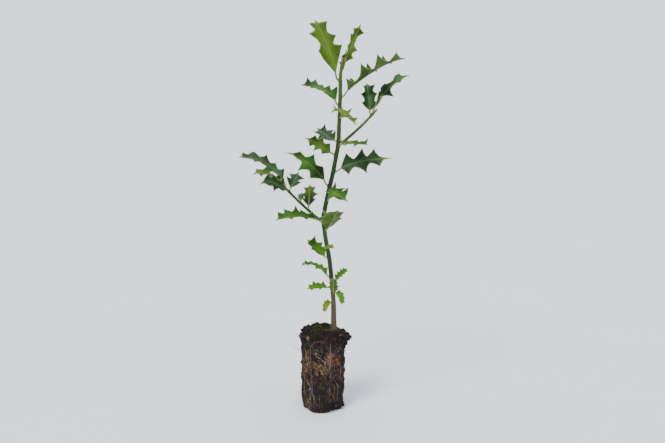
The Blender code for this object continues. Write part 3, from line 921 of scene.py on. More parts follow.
def spine_rows():
    """For each side of each leaf, the reach, slide and lift of its spines."""
    rows = {}
    given_rows = {(spines.leaf, spines.hand): spines for spines in SPINES}
    for number, leaf in enumerate(LEAVES):
        chance = np.random.default_rng(40 + number)
        for hand in (-1, 1):
            drawn = [Vector(chance.uniform(-1.0, 1.0, 3)) for _ in range(leaf.pairs)]
            row = [Vector((1.0 + one.x * SPINE_SPREAD[0], one.y * SPINE_SPREAD[1],
                           one.z * SPINE_SPREAD[2])) for one in drawn]
            own = given_rows.get((leaf.name, hand))
            if own:
                row = [Vector((reach, slide / 1000.0, 0.0))
                       for reach, slide in zip(own.reach, own.slide)]
            rows[leaf.name, hand] = row
    return rows


SPINE_ROWS = spine_rows()


def beside(leaf, hand, place):
    """Reach, slide and lift of one side of a leaf at a place between its spines."""
    row = SPINE_ROWS[leaf.name, hand]
    last = leaf.pairs - 1
    if place <= 0.0:
        return row[0]
    if place >= last:
        return row[last].lerp(Vector((1.0, 0.0, 0.0)), smooth((place - last) / PAIRS_AFTER))
    step = min(int(place), last - 1)
    return row[step].lerp(row[step + 1], smooth(place - step))


print("sides with given spines:", len(SPINES))

# %% [markdown]
# A leaf's green changes over its blade, and most of that change is how light falls on it. A tone is
# a soft patch on the blade, at a place among the spines and a share of the way from the midrib to
# the margin. Above 0 it is painted light and sheen, below 0 painted shade. A little of it is the
# blade's own uneven green.

# %% Painted light and shade on the blades
LitShadedTone = namedtuple("LitShadedTone", "leaf place across reach amount")
LIT_SHADED_TONES = (
    LitShadedTone("top_left", 0.3, 0.7, 0.6, -0.5), LitShadedTone("top_left", 2.2, 0.5, 0.6, -0.5),
    LitShadedTone("top_left", 0.6, -0.5, 0.5, 0.5), LitShadedTone("top_right", 3.1, 0.2, 0.9, -1.0),
    LitShadedTone("top_right", 0.2, 0.3, 0.7, -0.7), LitShadedTone("long_right", 2.0, 0.0, 0.8, -0.8),
    LitShadedTone("long_right", 5.0, 0.2, 0.7, -0.9), LitShadedTone("long_right", 3.6, 0.0, 0.7, 0.5),
    LitShadedTone("upper_left", 4.0, 0.3, 0.9, -1.0), LitShadedTone("upper_left", 2.2, -0.2, 0.9, 0.7),
    LitShadedTone("high_front", 3.6, 0.0, 0.7, -1.0), LitShadedTone("shoot_back", 0.8, 0.2, 0.5, 0.8),
    LitShadedTone("shoot_right", 1.0, 0.0, 0.8, -1.0), LitShadedTone("shoot_right", 3.2, 0.0, 1.0, 1.0),
    LitShadedTone("mid_left", 2.0, 0.6, 0.9, -0.9), LitShadedTone("mid_left", 0.8, -0.6, 0.9, 0.8),
    LitShadedTone("mid_right", 3.4, 0.0, 0.8, -0.9), LitShadedTone("mid_right", 1.2, 0.0, 0.9, 0.6),
    LitShadedTone("mid_long", -0.1, 0.2, 1.0, -1.3), LitShadedTone("mid_long", 1.2, -0.3, 0.8, 0.9),
    LitShadedTone("mid_long", 2.6, 0.0, 0.8, -1.2), LitShadedTone("mid_front", 1.0, -0.9, 0.5, -1.0),
    LitShadedTone("mid_front", 1.2, 0.2, 0.7, 0.9), LitShadedTone("mid_front", 0.0, 0.9, 0.5, -0.8),
    LitShadedTone("low_left", 0.2, 0.0, 0.7, -0.8), LitShadedTone("low_left", 3.3, 0.0, 1.0, 0.4),
    LitShadedTone("end_far", 0.3, 0.0, 0.9, 0.9), LitShadedTone("end_far", 2.6, 0.0, 0.8, -0.4),
    LitShadedTone("shoot_up_front", 0.2, 0.0, 1.0, -1.2), LitShadedTone("shoot_up_front", 2.2, 0.0, 0.8, 0.6),
    LitShadedTone("foot_left_high", 2.3, 0.2, 0.9, -1.0), LitShadedTone("low_front", 2.8, -0.5, 0.7, -0.6),
    LitShadedTone("end_front", 1.2, 0.0, 1.0, 0.5), LitShadedTone("foot_left_mid", 3.6, 0.0, 0.9, -0.7),
)


def lit_shaded_tone_at(leaf, place, across):
    """Painted light above 0, painted shade below 0, at one spot of a leaf's blade."""
    amount = 0.0
    for tone in LIT_SHADED_TONES:
        if tone.leaf == leaf.name:
            apart = math.hypot(place - tone.place, across - tone.across)
            amount += tone.amount * math.exp(-(apart / tone.reach) ** 2)
    return amount

# %% [markdown]
# ## Leaves
#
# A leaf blade starts as a flat grid, and each of its points is moved to its place on the folded,
# waving blade. More rows lie near the spines than in the bays, because the margin turns sharply
# there. The blade swells a little between its side veins and dips along its midrib. Solidify
# gives it its thickness, with one finish above, one below and one on the rim.
#
# Each point also keeps how far it is from the midrib and from the margin, and the UV map keeps
# its place among the spines, so the finish can draw the veins where they belong.

# %% Sizes of a leaf blade
ROWS_PER_PAIR = 12
WEDGE_ROWS = 12
TIP_ROWS = 14
COLUMNS = 22
BLADE_WALL = 0.00042
QUILTING = 0.00020
BLADE_UNEVENNESS = 0.00022
RIB_GROOVE = 0.00028
RIB_GROOVE_WIDTH = 0.0011
VEIN_SLANT = 0.55
BASE_HALF_WIDTH = 0.0007
STALK_SIDES = 8
STALK_RING = 0.0015


# %% Model one leaf blade
def blade_places(leaf):
    """The places of a blade's rows, close together at the spines."""
    places = [-leaf.wedge * (1.0 - step / WEDGE_ROWS) ** 0.8 for step in range(WEDGE_ROWS)]
    for pair in range(leaf.pairs - 1):
        places += [pair + (1.0 - math.cos(math.pi * step / ROWS_PER_PAIR)) / 2
                   for step in range(ROWS_PER_PAIR)]
    places += [leaf.pairs - 1 + PAIRS_AFTER * (step / TIP_ROWS) ** 1.3
               for step in range(TIP_ROWS + 1)]
    return places


BladeRow = namedtuple("BladeRow", "place reach spine centre forward right top sides")


def blade_row(leaf, path, place):
    """What a row of the blade needs: its place, directions, and each side's width and values."""
    along_share = mix(PETIOLE_SHARE, 1.0, blade_share(leaf, place))
    centre, forward, bearing = read_path(path, along_share)
    right, top = blade_frame(leaf, forward, bearing, along_share)
    width, reach, spine = margin(leaf, place)
    least = BASE_HALF_WIDTH if place < 0.0 else 0.00012
    sides = {}
    for hand in (-1, 1):
        grown, slide, lift = beside(leaf, hand, place)
        rising = 1.0 if place >= 0.0 else max(0.0, 1.0 + place / leaf.wedge)
        sides[hand] = (max(width * grown, least), slide * rising, lift)
    return BladeRow(place, reach, spine, centre, forward, right, top, sides)


def blade_spot(leaf, row, across):
    """A point of the blade, its normal, and how far it is from the midrib and the margin."""
    hand = 1 if across > 0.0 else -1
    width, slide, lift = row.sides[hand]
    out = abs(across) * width
    share = min(out / row.reach, 1.2)
    bend = leaf.fold * (0.6 + 0.4 * share) + lift * share
    bend += leaf.wave * math.cos(math.pi * row.place) * share
    turn = math.radians(bend)
    outward = row.right * hand * math.cos(turn) + row.top * math.sin(turn)
    normal = row.top * math.cos(turn) - row.right * hand * math.sin(turn)
    spot = row.centre + outward * out
    spot += row.forward * (out * SPINE_SWEEP + slide * abs(across))
    return spot, normal, out, width - out


def shape_blade(leaf, piece, rows):
    """Move the grid's points onto the blade, and keep what the finish needs to know."""
    mesh = piece.data
    from_rib = np.zeros(len(mesh.vertices))
    from_edge = np.zeros(len(mesh.vertices))
    chart = np.zeros((len(mesh.vertices), 2))
    tones = np.zeros(len(mesh.vertices))
    wall = piece.vertex_groups.new(name="wall")
    for point in mesh.vertices:
        row = round((point.co.y + 1.0) / 2.0 * (len(rows) - 1))
        across = point.co.x
        place = rows[row].place
        spot, normal, out, inside = blade_spot(leaf, rows[row], across)
        narrow = min(1.0, (out + inside) / 0.004)
        vein = place + VEIN_SLANT * (1.0 - abs(across))
        puff = -QUILTING * math.cos(math.tau * vein) * smooth(out / 0.004)
        puff *= smooth(inside / 0.003) * min(1.0, rows[row].reach / 0.012)
        puff -= RIB_GROOVE * math.exp(-(out / RIB_GROOVE_WIDTH) ** 2) * narrow
        puff += BLADE_UNEVENNESS * noise.noise(spot * 230.0) * narrow
        point.co = spot + normal * puff
        from_rib[point.index] = out
        from_edge[point.index] = inside
        chart[point.index] = (place, across)
        # The tone is painted light and painted shade, which the leaf finishes read.
        tones[point.index] = lit_shaded_tone_at(leaf, place, across)
        near_point = smooth((rows[row].spine - 0.75) / 0.25) * smooth((abs(across) - 0.7) / 0.3)
        if place > leaf.pairs - 1:
            near_point = max(near_point, smooth((place - leaf.pairs + 0.3) / 0.85))
        wall.add([point.index], 1.0 - near_point, "REPLACE")
    for name, values in (("from_rib", from_rib), ("from_edge", from_edge), ("tone", tones)):
        mesh.attributes.new(name, "FLOAT", "POINT").data.foreach_set("value", values)
    corners = np.zeros(len(mesh.loops), dtype=int)
    mesh.loops.foreach_get("vertex_index", corners)
    mesh.uv_layers[0].name = "blade"
    mesh.uv_layers["blade"].data.foreach_set("uv", chart[corners].ravel())


def make_blade(leaf, path):
    """A leaf blade with its thickness."""
    rows = [blade_row(leaf, path, place) for place in blade_places(leaf)]
    deselect()
    bpy.ops.mesh.primitive_grid_add(x_subdivisions=COLUMNS, y_subdivisions=len(rows) - 1, size=2.0)
    piece = bpy.context.object
    shape_blade(leaf, piece, rows)
    for finish in (None, None, None):
        piece.data.materials.append(finish)
    apply_modifier(piece, "SOLIDIFY", thickness=BLADE_WALL, offset=0.0, use_even_offset=False,
                   vertex_group="wall", thickness_vertex_group=0.35,
                   material_offset=1, material_offset_rim=2)
    bpy.ops.object.shade_smooth_by_angle(angle=math.radians(55.0))
    return piece


# %% [markdown]
# The stalk and the midrib are one tapering rod, round below and grooved above. It leaves the
# limb on a small swelling, and under the blade it sinks halfway into the leaf, so that a ridge
# shows on the underside only. It is extruded along the same path.


# %% Model one leaf stalk and midrib
def make_stalk(leaf, path):
    """The stalk of a leaf and the midrib under its blade."""
    count = max(8, round(leaf.length / STALK_RING))
    size = min(1.0, 0.45 + leaf.length / 0.08)
    rings = []
    for step in range(count):
        share = step / count
        centre, forward, bearing = read_path(path, share)
        right, top = blade_frame(leaf, forward, bearing, share)
        radius = PETIOLE_RADIUS * size * mix(1.0, 0.20, smooth((share - 0.06) / 0.9))
        radius += 0.00030 * size * math.exp(-(share * leaf.length / 0.0012) ** 2)
        sunk = smooth((share - 0.07) / 0.10)
        centre = centre - top * ((radius * 0.65 + 0.00030) * sunk)
        if step == 0:
            centre = centre - forward * 0.0006
        ring = []
        for corner in range(STALK_SIDES):
            turn = math.tau * corner / STALK_SIDES
            groove = 1.0 - 0.35 * max(0.0, math.sin(turn)) ** 4
            ring.append(centre + (right * math.cos(turn) + top * math.sin(turn)) * radius * groove)
        rings.append(ring)
    piece = extrude_rings("stalk", STALK_SIDES, rings)
    bpy.ops.object.shade_smooth_by_angle(angle=math.radians(60.0))
    return piece


leaf_pieces = {}
for leaf in LEAVES:
    path = leaf_path(leaf, limbs[leaf.limb])
    blade = make_blade(leaf, path)
    stalk = make_stalk(leaf, path)
    pick(blade)
    blade.name = "holly_leaf_" + leaf.name
    leaf_pieces[leaf.name] = (blade, stalk)
print("blades:", len(leaf_pieces))

# %% [markdown]
# ### Finish of the leaves
#
# Holly's upper face is dark and waxy, and soft daylight shows the wax as a dull sheen. The
# underside is pale, matt and yellower, and the thickened rim and the spines are paler. Young leaves
# are yellow-green all over. The vein pattern is a node group, so every leaf finish can use it:
# side veins run slantwise to the spines, and a fine net fills the space between them.

# %% Vein pattern as a node group
veins, taken, given = new_group(
    "leaf_veins",
    [("Chart", VECTOR, None), ("From Rib", FLOAT, 0.0), ("From Edge", FLOAT, 0.0),
     ("Rib Width", FLOAT, 0.0005)],
    [("Rib", FLOAT), ("Side Veins", FLOAT), ("Net", FLOAT), ("Rim", FLOAT), ("Height", FLOAT)],
)
split = put(veins, "ShaderNodeSeparateXYZ", {"Vector": taken.outputs["Chart"]})
away = sum_of(veins, "ABSOLUTE", split.outputs["Y"])
slant = sum_of(veins, "MULTIPLY_ADD", away, -VEIN_SLANT, split.outputs["X"])
slant = sum_of(veins, "ADD", slant, VEIN_SLANT)
nearest = sum_of(veins, "ROUND", slant)
apart = sum_of(veins, "ABSOLUTE", sum_of(veins, "SUBTRACT", slant, nearest))
main_vein = ramp_between(veins, apart, 0.055, 0.01)
shifted = sum_of(veins, "ADD", slant, 0.5)
nearest = sum_of(veins, "ROUND", shifted)
apart = sum_of(veins, "ABSOLUTE", sum_of(veins, "SUBTRACT", shifted, nearest))
between = sum_of(veins, "MULTIPLY", ramp_between(veins, apart, 0.04, 0.01), 0.45)
side_vein = sum_of(veins, "MAXIMUM", main_vein, between)
side_vein = sum_of(veins, "MULTIPLY", side_vein, ramp_between(veins, away, 0.98, 0.60))
rib = sum_of(veins, "DIVIDE", taken.outputs["From Rib"], taken.outputs["Rib Width"])
rib = ramp_between(veins, rib, 1.3, 0.7)
rim = ramp_between(veins, taken.outputs["From Edge"], 0.0010, 0.0003)
stretched = put(veins, "ShaderNodeMapping", {
    "Vector": taken.outputs["Chart"], "Scale": (9.0, 11.0, 1.0)})
cells = put(veins, "ShaderNodeTexVoronoi", {
    "Vector": stretched.outputs["Vector"], "Scale": 1.0}, feature="DISTANCE_TO_EDGE")
net = ramp_between(veins, cells.outputs["Distance"], 0.10, 0.02)
height = sum_of(veins, "MULTIPLY_ADD", net, -0.25, 1.0)
height = sum_of(veins, "MULTIPLY_ADD", side_vein, -0.75, height)
for label, value in (("Rib", rib), ("Side Veins", side_vein), ("Net", net), ("Rim", rim),
                     ("Height", height)):
    veins.links.new(value, given.inputs[label])
print("vein pattern ready")

# %% [markdown]
# A look has colours for the upper face: the plain blade, its paler middle and its blotches. It
# also says how far the pale middle spreads, how rough and shiny the face is, and how strongly the
# midrib shows. Leaves that faced the light longest are dark, and the newest are yellow-green.

# %% Looks of the leaves
Look = namedtuple("Look", "name blade middle blotch spread roughness shine rib")
LOOKS = (
    Look("dark", (0.012, 0.042, 0.008), (0.034, 0.078, 0.026), (0.005, 0.021, 0.004), .0016, .42,
         .20, .30),
    Look("green", (0.022, 0.078, 0.007), (0.050, 0.125, 0.012), (0.010, 0.040, 0.004), .0030, .42,
         .11, .35),
    Look("olive", (0.040, 0.092, 0.008), (0.085, 0.145, 0.016), (0.015, 0.044, 0.005), .0030, .42,
         .11, .45),
    Look("young", (0.058, 0.124, 0.006), (0.120, 0.190, 0.022), (0.028, 0.070, 0.004), .0045, .45,
         .09, .70),
    Look("bright", (0.036, 0.136, 0.003), (0.080, 0.190, 0.008), (0.014, 0.066, 0.003), .0035, .45,
         .08, .30),
    Look("old", (0.100, 0.138, 0.006), (0.160, 0.200, 0.014), (0.050, 0.084, 0.004), .0035, .45,
         .08, .30),
    Look("deep", (0.010, 0.040, 0.003), (0.038, 0.096, 0.030), (0.004, 0.018, 0.002), .0022, .42,
         .10, .35),
)
RIB_COLOUR = (0.170, 0.240, 0.048)
RIM_COLOUR = (0.250, 0.310, 0.110)
UNDERSIDE = (0.078, 0.128, 0.016)
UNDERSIDE_BLOTCH = (0.038, 0.076, 0.009)
# How much paler the painted light and how much darker the painted shade of the tones make a leaf.
LIT_PALER = 1.3
SHADED_DEEPER = 0.6
UNDERSIDE_SHADED_DEEPER = 0.42
RIM_STRENGTH = 0.85
WEARS = {
    "top_left": "young", "top_right": "young", "apex_young": "deep", "long_right": "olive",
    "upper_left": "green", "high_front": "young", "shoot_back": "deep", "shoot_right": "deep",
    "mid_back": "dark", "mid_left": "olive", "mid_right": "olive", "dark_right": "dark",
    "mid_front": "green", "mid_long": "green", "low_left": "green", "low_front": "bright",
    "end_far": "dark", "end_front": "olive", "end_low": "deep", "shoot_up_back": "dark",
    "shoot_up_front": "olive", "shoot_small": "olive", "foot_left_high": "bright",
    "foot_small": "young", "foot_left_mid": "bright", "foot_left_low": "bright",
    "foot_front": "bright", "foot_right_high": "bright", "foot_right_low": "bright",
    "foot_lowest": "old",
}


def leaf_inputs(tree):
    """Object coordinates, and the vein pattern of the leaf that wears this finish."""
    chart = put(tree, "ShaderNodeUVMap", uv_map="blade").outputs["UV"]
    from_rib = stored(tree, "from_rib")
    marks = use_group(tree, veins, {"Chart": chart, "From Rib": from_rib,
                                    "From Edge": stored(tree, "from_edge")})
    return object_coords(tree), from_rib, marks


def lit_shaded(tree, shade, paler, darker):
    """Paint light and shade on a colour: paler where the blade's tone is above 0, darker below."""
    tone = stored(tree, "tone")
    shade = blend_colour(tree, ramp_between(tree, tone, 0.0, 1.0), shade, paler)
    return blend_colour(tree, ramp_between(tree, tone, 0.0, -1.0), shade, darker)


def marked(tree, shade, strength, mark, ink):
    """Lay an ink over a colour where a mark is, at a strength."""
    return blend_colour(tree, sum_of(tree, "MULTIPLY", mark, strength), shade, ink)


def upper_finish(look):
    """The waxy upper face of a leaf."""
    finish, tree, shader = new_finish("leaf_upper_" + look.name, look.roughness, look.shine)
    coords, from_rib, marks = leaf_inputs(tree)
    shade = blend_colour(tree, blotch_mask(tree, coords, 130.0, 0.40, 0.70), look.blade,
                         look.blotch)
    glow = ramp_between(tree, from_rib, look.spread * 2.2, look.spread * 0.3)
    shade = marked(tree, shade, 0.55, glow, look.middle)
    # Painted light and painted shade from the blade's tone.
    shade = lit_shaded(tree, shade, Vector(look.middle) * LIT_PALER, Vector(look.blotch) * SHADED_DEEPER)
    shade = marked(tree, shade, 0.45, marks["Side Veins"], look.middle)
    shade = marked(tree, shade, 0.12, marks["Net"], look.middle)
    shade = marked(tree, shade, look.rib, marks["Rib"], RIB_COLOUR)
    shade = marked(tree, shade, RIM_STRENGTH, marks["Rim"], RIM_COLOUR)
    tree.links.new(shade, shader.inputs["Base Color"])
    dull = blotch_mask(tree, coords, 300.0, 0.3, 0.8)
    tree.links.new(ramp_between(tree, dull, 0.0, 1.0, look.roughness, look.roughness + 0.12),
                   shader.inputs["Roughness"])
    fine = put(tree, "ShaderNodeTexNoise", {"Vector": coords, "Scale": 1500.0, "Detail": 3.0})
    relief = sum_of(tree, "MULTIPLY_ADD", fine.outputs["Fac"], 0.35, marks["Height"])
    bump = put(tree, "ShaderNodeBump", {"Height": relief, "Distance": 0.00016, "Strength": 0.55})
    tree.links.new(bump.outputs["Normal"], shader.inputs["Normal"])
    return finish


def underside_finish():
    """The pale matt underside of a leaf."""
    finish, tree, shader = new_finish("leaf_underside", 0.55, 0.2)
    coords, _, marks = leaf_inputs(tree)
    shade = blend_colour(tree, blotch_mask(tree, coords, 160.0), UNDERSIDE, UNDERSIDE_BLOTCH)
    # Painted light and painted shade on the underside too.
    shade = lit_shaded(tree, shade, UNDERSIDE, Vector(UNDERSIDE_BLOTCH) * UNDERSIDE_SHADED_DEEPER)
    shade = marked(tree, shade, 0.40, marks["Side Veins"], RIB_COLOUR)
    shade = marked(tree, shade, 0.45, marks["Rib"], RIB_COLOUR)
    shade = marked(tree, shade, RIM_STRENGTH, marks["Rim"], RIM_COLOUR)
    tree.links.new(shade, shader.inputs["Base Color"])
    relief = sum_of(tree, "MULTIPLY", marks["Height"], -1.0)
    bump = put(tree, "ShaderNodeBump", {"Height": relief, "Distance": 0.00014, "Strength": 0.5})
    tree.links.new(bump.outputs["Normal"], shader.inputs["Normal"])
    return finish


# %% Finish of rims and stalks
def pale_finish(name, first, second, roughness):
    """A pale horny finish with small blotches, for rims and stalks."""
    return two_shade_finish(name, roughness, 0.25, first, second, (260.0, 0.4, 0.6),
                            (2500.0, 0.00005))


rim_finish = pale_finish("leaf_rim", RIM_COLOUR, (0.110, 0.160, 0.030), 0.40)
stalk_green = pale_finish("stalk_green", (0.180, 0.240, 0.040), (0.110, 0.155, 0.020), 0.42)
stalk_red = pale_finish("stalk_red", (0.160, 0.070, 0.030), (0.120, 0.140, 0.034), 0.42)
REDDISH_STALKS = ("top_left", "high_front")

uppers = {look.name: upper_finish(look) for look in LOOKS}
underside = underside_finish()
for leaf in LEAVES:
    blade, stalk = leaf_pieces[leaf.name]
    for number, finish in enumerate((uppers[WEARS[leaf.name]], underside, rim_finish)):
        blade.data.materials[number] = finish
    stalk.data.materials.append(stalk_red if leaf.name in REDDISH_STALKS else stalk_green)
    pick(blade)
    stalk.select_set(True)
    bpy.ops.object.join()
    settle(blade, "foliage", "leaf_" + leaf.name)

# %% [markdown]
# ## Root plug
#
# The plug took the shape of its cell: eight flat sides that narrow downwards, held together by
# roots. It is modelled from a sphere with many rings. The lowest rings become the flat underside,
# the middle ones the sides, and the rest the crumbly top. The large form follows the source's
# rule, with clods and a hollow of its own. Crumbs and pits are added along the outward direction,
# and they stay out of the flat foot.

# %% The rule of the plug
BALL_TOP_RADIUS = 0.0272
BALL_FOOT_RADIUS = 0.0250
BALL_CORNERS = 8
BALL_FIRST_CORNER = 286.0
BALL_ROUGHNESS = 0.0011
BALL_LUMP_SIZE = 0.009
BALL_TOP_LUMPS = 0.0045
BALL_TOP_MEAN = 0.55
BALL_RIM = 0.0035
BALL_RIM_SHARE = 0.25
BALL_FLAT_FOOT = 0.0015
STEM_CLEARING = 0.008
SIDE_HEIGHT = BALL_HEIGHT - BALL_RIM

Clod = namedtuple("Clod", "bearing height reach spread")
CLODS = (
    Clod(340.0, 0.087, 0.0072, 0.0062),
    Clod(352.0, 0.077, 0.0020, 0.0040),
    Clod(306.0, 0.000, -0.0045, 0.0085),
    Clod(246.0, 0.000, 0.0016, 0.0060),
    Clod(345.0, 0.047, 0.0022, 0.0050),
    Clod(350.0, 0.030, 0.0018, 0.0060),
    Clod(318.0, 0.006, 0.0020, 0.0060),
    Clod(120.0, 0.083, 0.0040, 0.0080),
    Clod(70.0, 0.040, 0.0022, 0.0090),
    Clod(200.0, 0.020, 0.0012, 0.0080),
)


def ball_radius(turn, height):
    """How far the plug's side lies from its axis at an angle and a height."""
    corner_angle = math.tau / BALL_CORNERS
    from_corner = (turn - math.radians(BALL_FIRST_CORNER)) % corner_angle
    corner_radius = mix(BALL_FOOT_RADIUS, BALL_TOP_RADIUS, height / BALL_HEIGHT)
    flat = math.cos(corner_angle / 2) / math.cos(from_corner - corner_angle / 2)
    place = Vector((math.cos(turn), math.sin(turn), 0.0)) * corner_radius
    place.z = height
    rough = noise.noise(place / BALL_LUMP_SIZE) + 0.5 * noise.noise(place * 2.3 / BALL_LUMP_SIZE)
    reach = corner_radius * flat + BALL_ROUGHNESS * rough
    for clod in CLODS:
        around = (turn - math.radians(clod.bearing) + math.pi) % math.tau - math.pi
        distance = math.hypot(around * corner_radius, height - clod.height)
        reach += clod.reach * math.exp(-(distance / clod.spread) ** 2)
    return reach


def ball_top_height(x, y, rim_share):
    """Height of the crumbly top, level where the stem stands and lower at the rim."""
    from_stem = math.hypot(x - STEM[0].right, y - STEM[0].away)
    clear = smooth(from_stem / STEM_CLEARING - 1.0)
    clear *= 1.0 - smooth((rim_share - 0.85) / 0.15)
    lump = BALL_TOP_MEAN + noise.noise(Vector((x, y, BALL_HEIGHT)) / BALL_LUMP_SIZE)
    drop = BALL_RIM * smooth(1.0 - (1.0 - rim_share) / BALL_RIM_SHARE)
    return BALL_HEIGHT + BALL_TOP_LUMPS * lump * clear - drop


# %% Crumbs and pits of the plug
CRUMB_SIZES = ((0.0046, 0.00075), (0.0019, 0.00050), (0.0008, 0.00024))
PIT_SIZE = 0.0062
PIT_DEPTH = 0.0030
PIT_SHARE = 0.22
FOOT_CLEAR = 0.0022


def crumbly(place):
    """How far the surface stands out of the plug's plain form at a place."""
    relief = 0.0
    for size, height in CRUMB_SIZES:
        relief += height * noise.noise(place / size)
    relief -= PIT_DEPTH * max(0.0, noise.noise(place / PIT_SIZE + Vector((7, 3, 1))) - PIT_SHARE)
    return relief


def plug_point(turn, run):
    """A point of the plug and its outward direction. run goes 0 to 1 up the side, then to 2 at
    the middle of the top."""
    out = Vector((math.cos(turn), math.sin(turn), 0.0))
    if run <= 1.0:
        height = SIDE_HEIGHT * max(run, 0.0)
        reach = ball_radius(turn, height)
        reach -= BALL_FLAT_FOOT * (1.0 - smooth(height / FOOT_CLEAR))
        place = out * reach
        place.z = height
    else:
        share = 2.0 - run
        place = out * ball_radius(turn, SIDE_HEIGHT) * share
        place.z = ball_top_height(place.x, place.y, share)
    tilt = smooth((run - 0.965) / 0.13) * math.pi / 2
    normal = out * math.cos(tilt) + Vector((0.0, 0.0, math.sin(tilt)))
    near_stem = smooth(math.hypot(place.x - STEM[0].right, place.y - STEM[0].away) / 0.004 - 0.8)
    if run <= 1.0:
        near_stem = 1.0
    held = smooth(place.z / FOOT_CLEAR) * near_stem
    return place + normal * crumbly(place) * held, normal


# %% Model the plug
PLUG_SEGMENTS = 236
PLUG_RINGS = 176
FOOT_RINGS = 10
TOP_RINGS = 32

deselect()
bpy.ops.mesh.primitive_uv_sphere_add(segments=PLUG_SEGMENTS, ring_count=PLUG_RINGS, radius=1.0)
plug = bpy.context.object
plug.name = "root_plug"
side_rings = PLUG_RINGS - FOOT_RINGS - TOP_RINGS
for point in plug.data.vertices:
    ring = round(math.acos(max(-1.0, min(1.0, point.co.z))) / math.pi * PLUG_RINGS)
    turn = math.atan2(point.co.y, point.co.x) % math.tau
    up = PLUG_RINGS - ring
    if up < FOOT_RINGS:
        spot, _ = plug_point(turn, 0.0)
        point.co = (spot.x * up / FOOT_RINGS, spot.y * up / FOOT_RINGS, 0.0)
    elif ring >= TOP_RINGS:
        point.co, _ = plug_point(turn, (up - FOOT_RINGS) / side_rings)
    else:
        point.co, _ = plug_point(turn, 1.0 + (TOP_RINGS - ring) / TOP_RINGS)
pick(plug)
bpy.ops.object.shade_smooth()
settle(plug, "compost", "root_ball")

# %% [markdown]
# Small things that repeat are modelled once and then copied by arrays: a crumb, a moss leaf and
# a bud. A helper takes the pattern's points and a frame for each copy, and joins them into one
# mesh. Each copy gets a tone from 0 to 1, which the finish reads to colour it on its own.


# %% Copy a pattern many times
def joined_copies(name, pattern, frames, tones):
    """Copy a small pattern to many frames as one piece, with a tone for each copy."""
    shape = np.array([tuple(point.co) for point in pattern.data.vertices])
    faces = [tuple(face.vertices) for face in pattern.data.polygons]
    frames = np.array(frames)
    placed = np.einsum("nij,pj->npi", frames[:, :, :3], shape) + frames[:, None, :, 3]
    count = len(shape)
    all_faces = [tuple(corner + copy * count for corner in face)
                 for copy in range(len(frames)) for face in faces]
    mesh = bpy.data.meshes.new(name)
    mesh.from_pydata(placed.reshape(-1, 3), [], all_faces)
    tone = mesh.attributes.new("tone", "FLOAT", "POINT")
    tone.data.foreach_set("value", np.repeat(tones, count))
    piece = bpy.data.objects.new(name, mesh)
    bpy.context.collection.objects.link(piece)
    bpy.data.objects.remove(pattern)
    return piece


def stood_frame(place, normal, turn, sizes):
    """A 3 by 4 frame at a place, with its Z along normal, turned about it and scaled."""
    up = normal.normalized()
    side = up.orthogonal().normalized()
    other = up.cross(side)
    first = side * math.cos(turn) + other * math.sin(turn)
    second = up.cross(first)
    axes = (first * sizes[0], second * sizes[1], up * sizes[2])
    return [[axes[0][row], axes[1][row], axes[2][row], place[row]] for row in range(3)]


# %% [markdown]
# Peat breaks into angular crumbs, so the crumb is an icosahedron pulled out of true. Thousands of
# them sit half in the surface, most of them small. They are what makes the plug's edge ragged.
# Larger ones lie in heaps along the rim and the foot, where the plug has started to fall apart.

# %% Crumbs
CRUMBS = 8200
CRUMB_SIZE = 0.00036
LARGE_CRUMBS = 300
LARGE_CRUMB_SHARE = 2.1
SIDE_CRUMB_SHARE = 0.62
STEM_GAP = 0.004
RIM_RADIUS = 0.027
Heap = namedtuple("Heap", "bearing up spread count size")
HEAPS = (
    Heap(338.0, 0.0880, 0.0050, 110, 0.00120), Heap(350.0, 0.0790, 0.0040, 60, 0.00105),
    Heap(322.0, 0.0925, 0.0040, 45, 0.00100), Heap(225.0, 0.0925, 0.0050, 60, 0.00095),
    Heap(200.0, 0.0900, 0.0040, 36, 0.00085), Heap(262.0, 0.0930, 0.0050, 40, 0.00080),
    Heap(350.0, 0.0575, 0.0022, 22, 0.00090), Heap(348.0, 0.0330, 0.0026, 24, 0.00085),
    Heap(330.0, 0.0060, 0.0030, 34, 0.00095), Heap(305.0, 0.0040, 0.0030, 30, 0.00090),
    Heap(262.0, 0.0040, 0.0040, 26, 0.00080), Heap(20.0, 0.0900, 0.0060, 60, 0.00100),
    Heap(75.0, 0.0910, 0.0070, 70, 0.00095), Heap(135.0, 0.0900, 0.0070, 70, 0.00095),
    Heap(60.0, 0.0050, 0.0060, 40, 0.00085), Heap(150.0, 0.0050, 0.0060, 40, 0.00085),
)
rng = np.random.default_rng(11)


def crumb_pattern():
    """One angular crumb, about two units across."""
    deselect()
    bpy.ops.mesh.primitive_ico_sphere_add(subdivisions=1, radius=1.0)
    crumb = bpy.context.object
    for point in crumb.data.vertices:
        point.co *= 1.0 + 0.35 * noise.noise(point.co * 2.1)
    return crumb


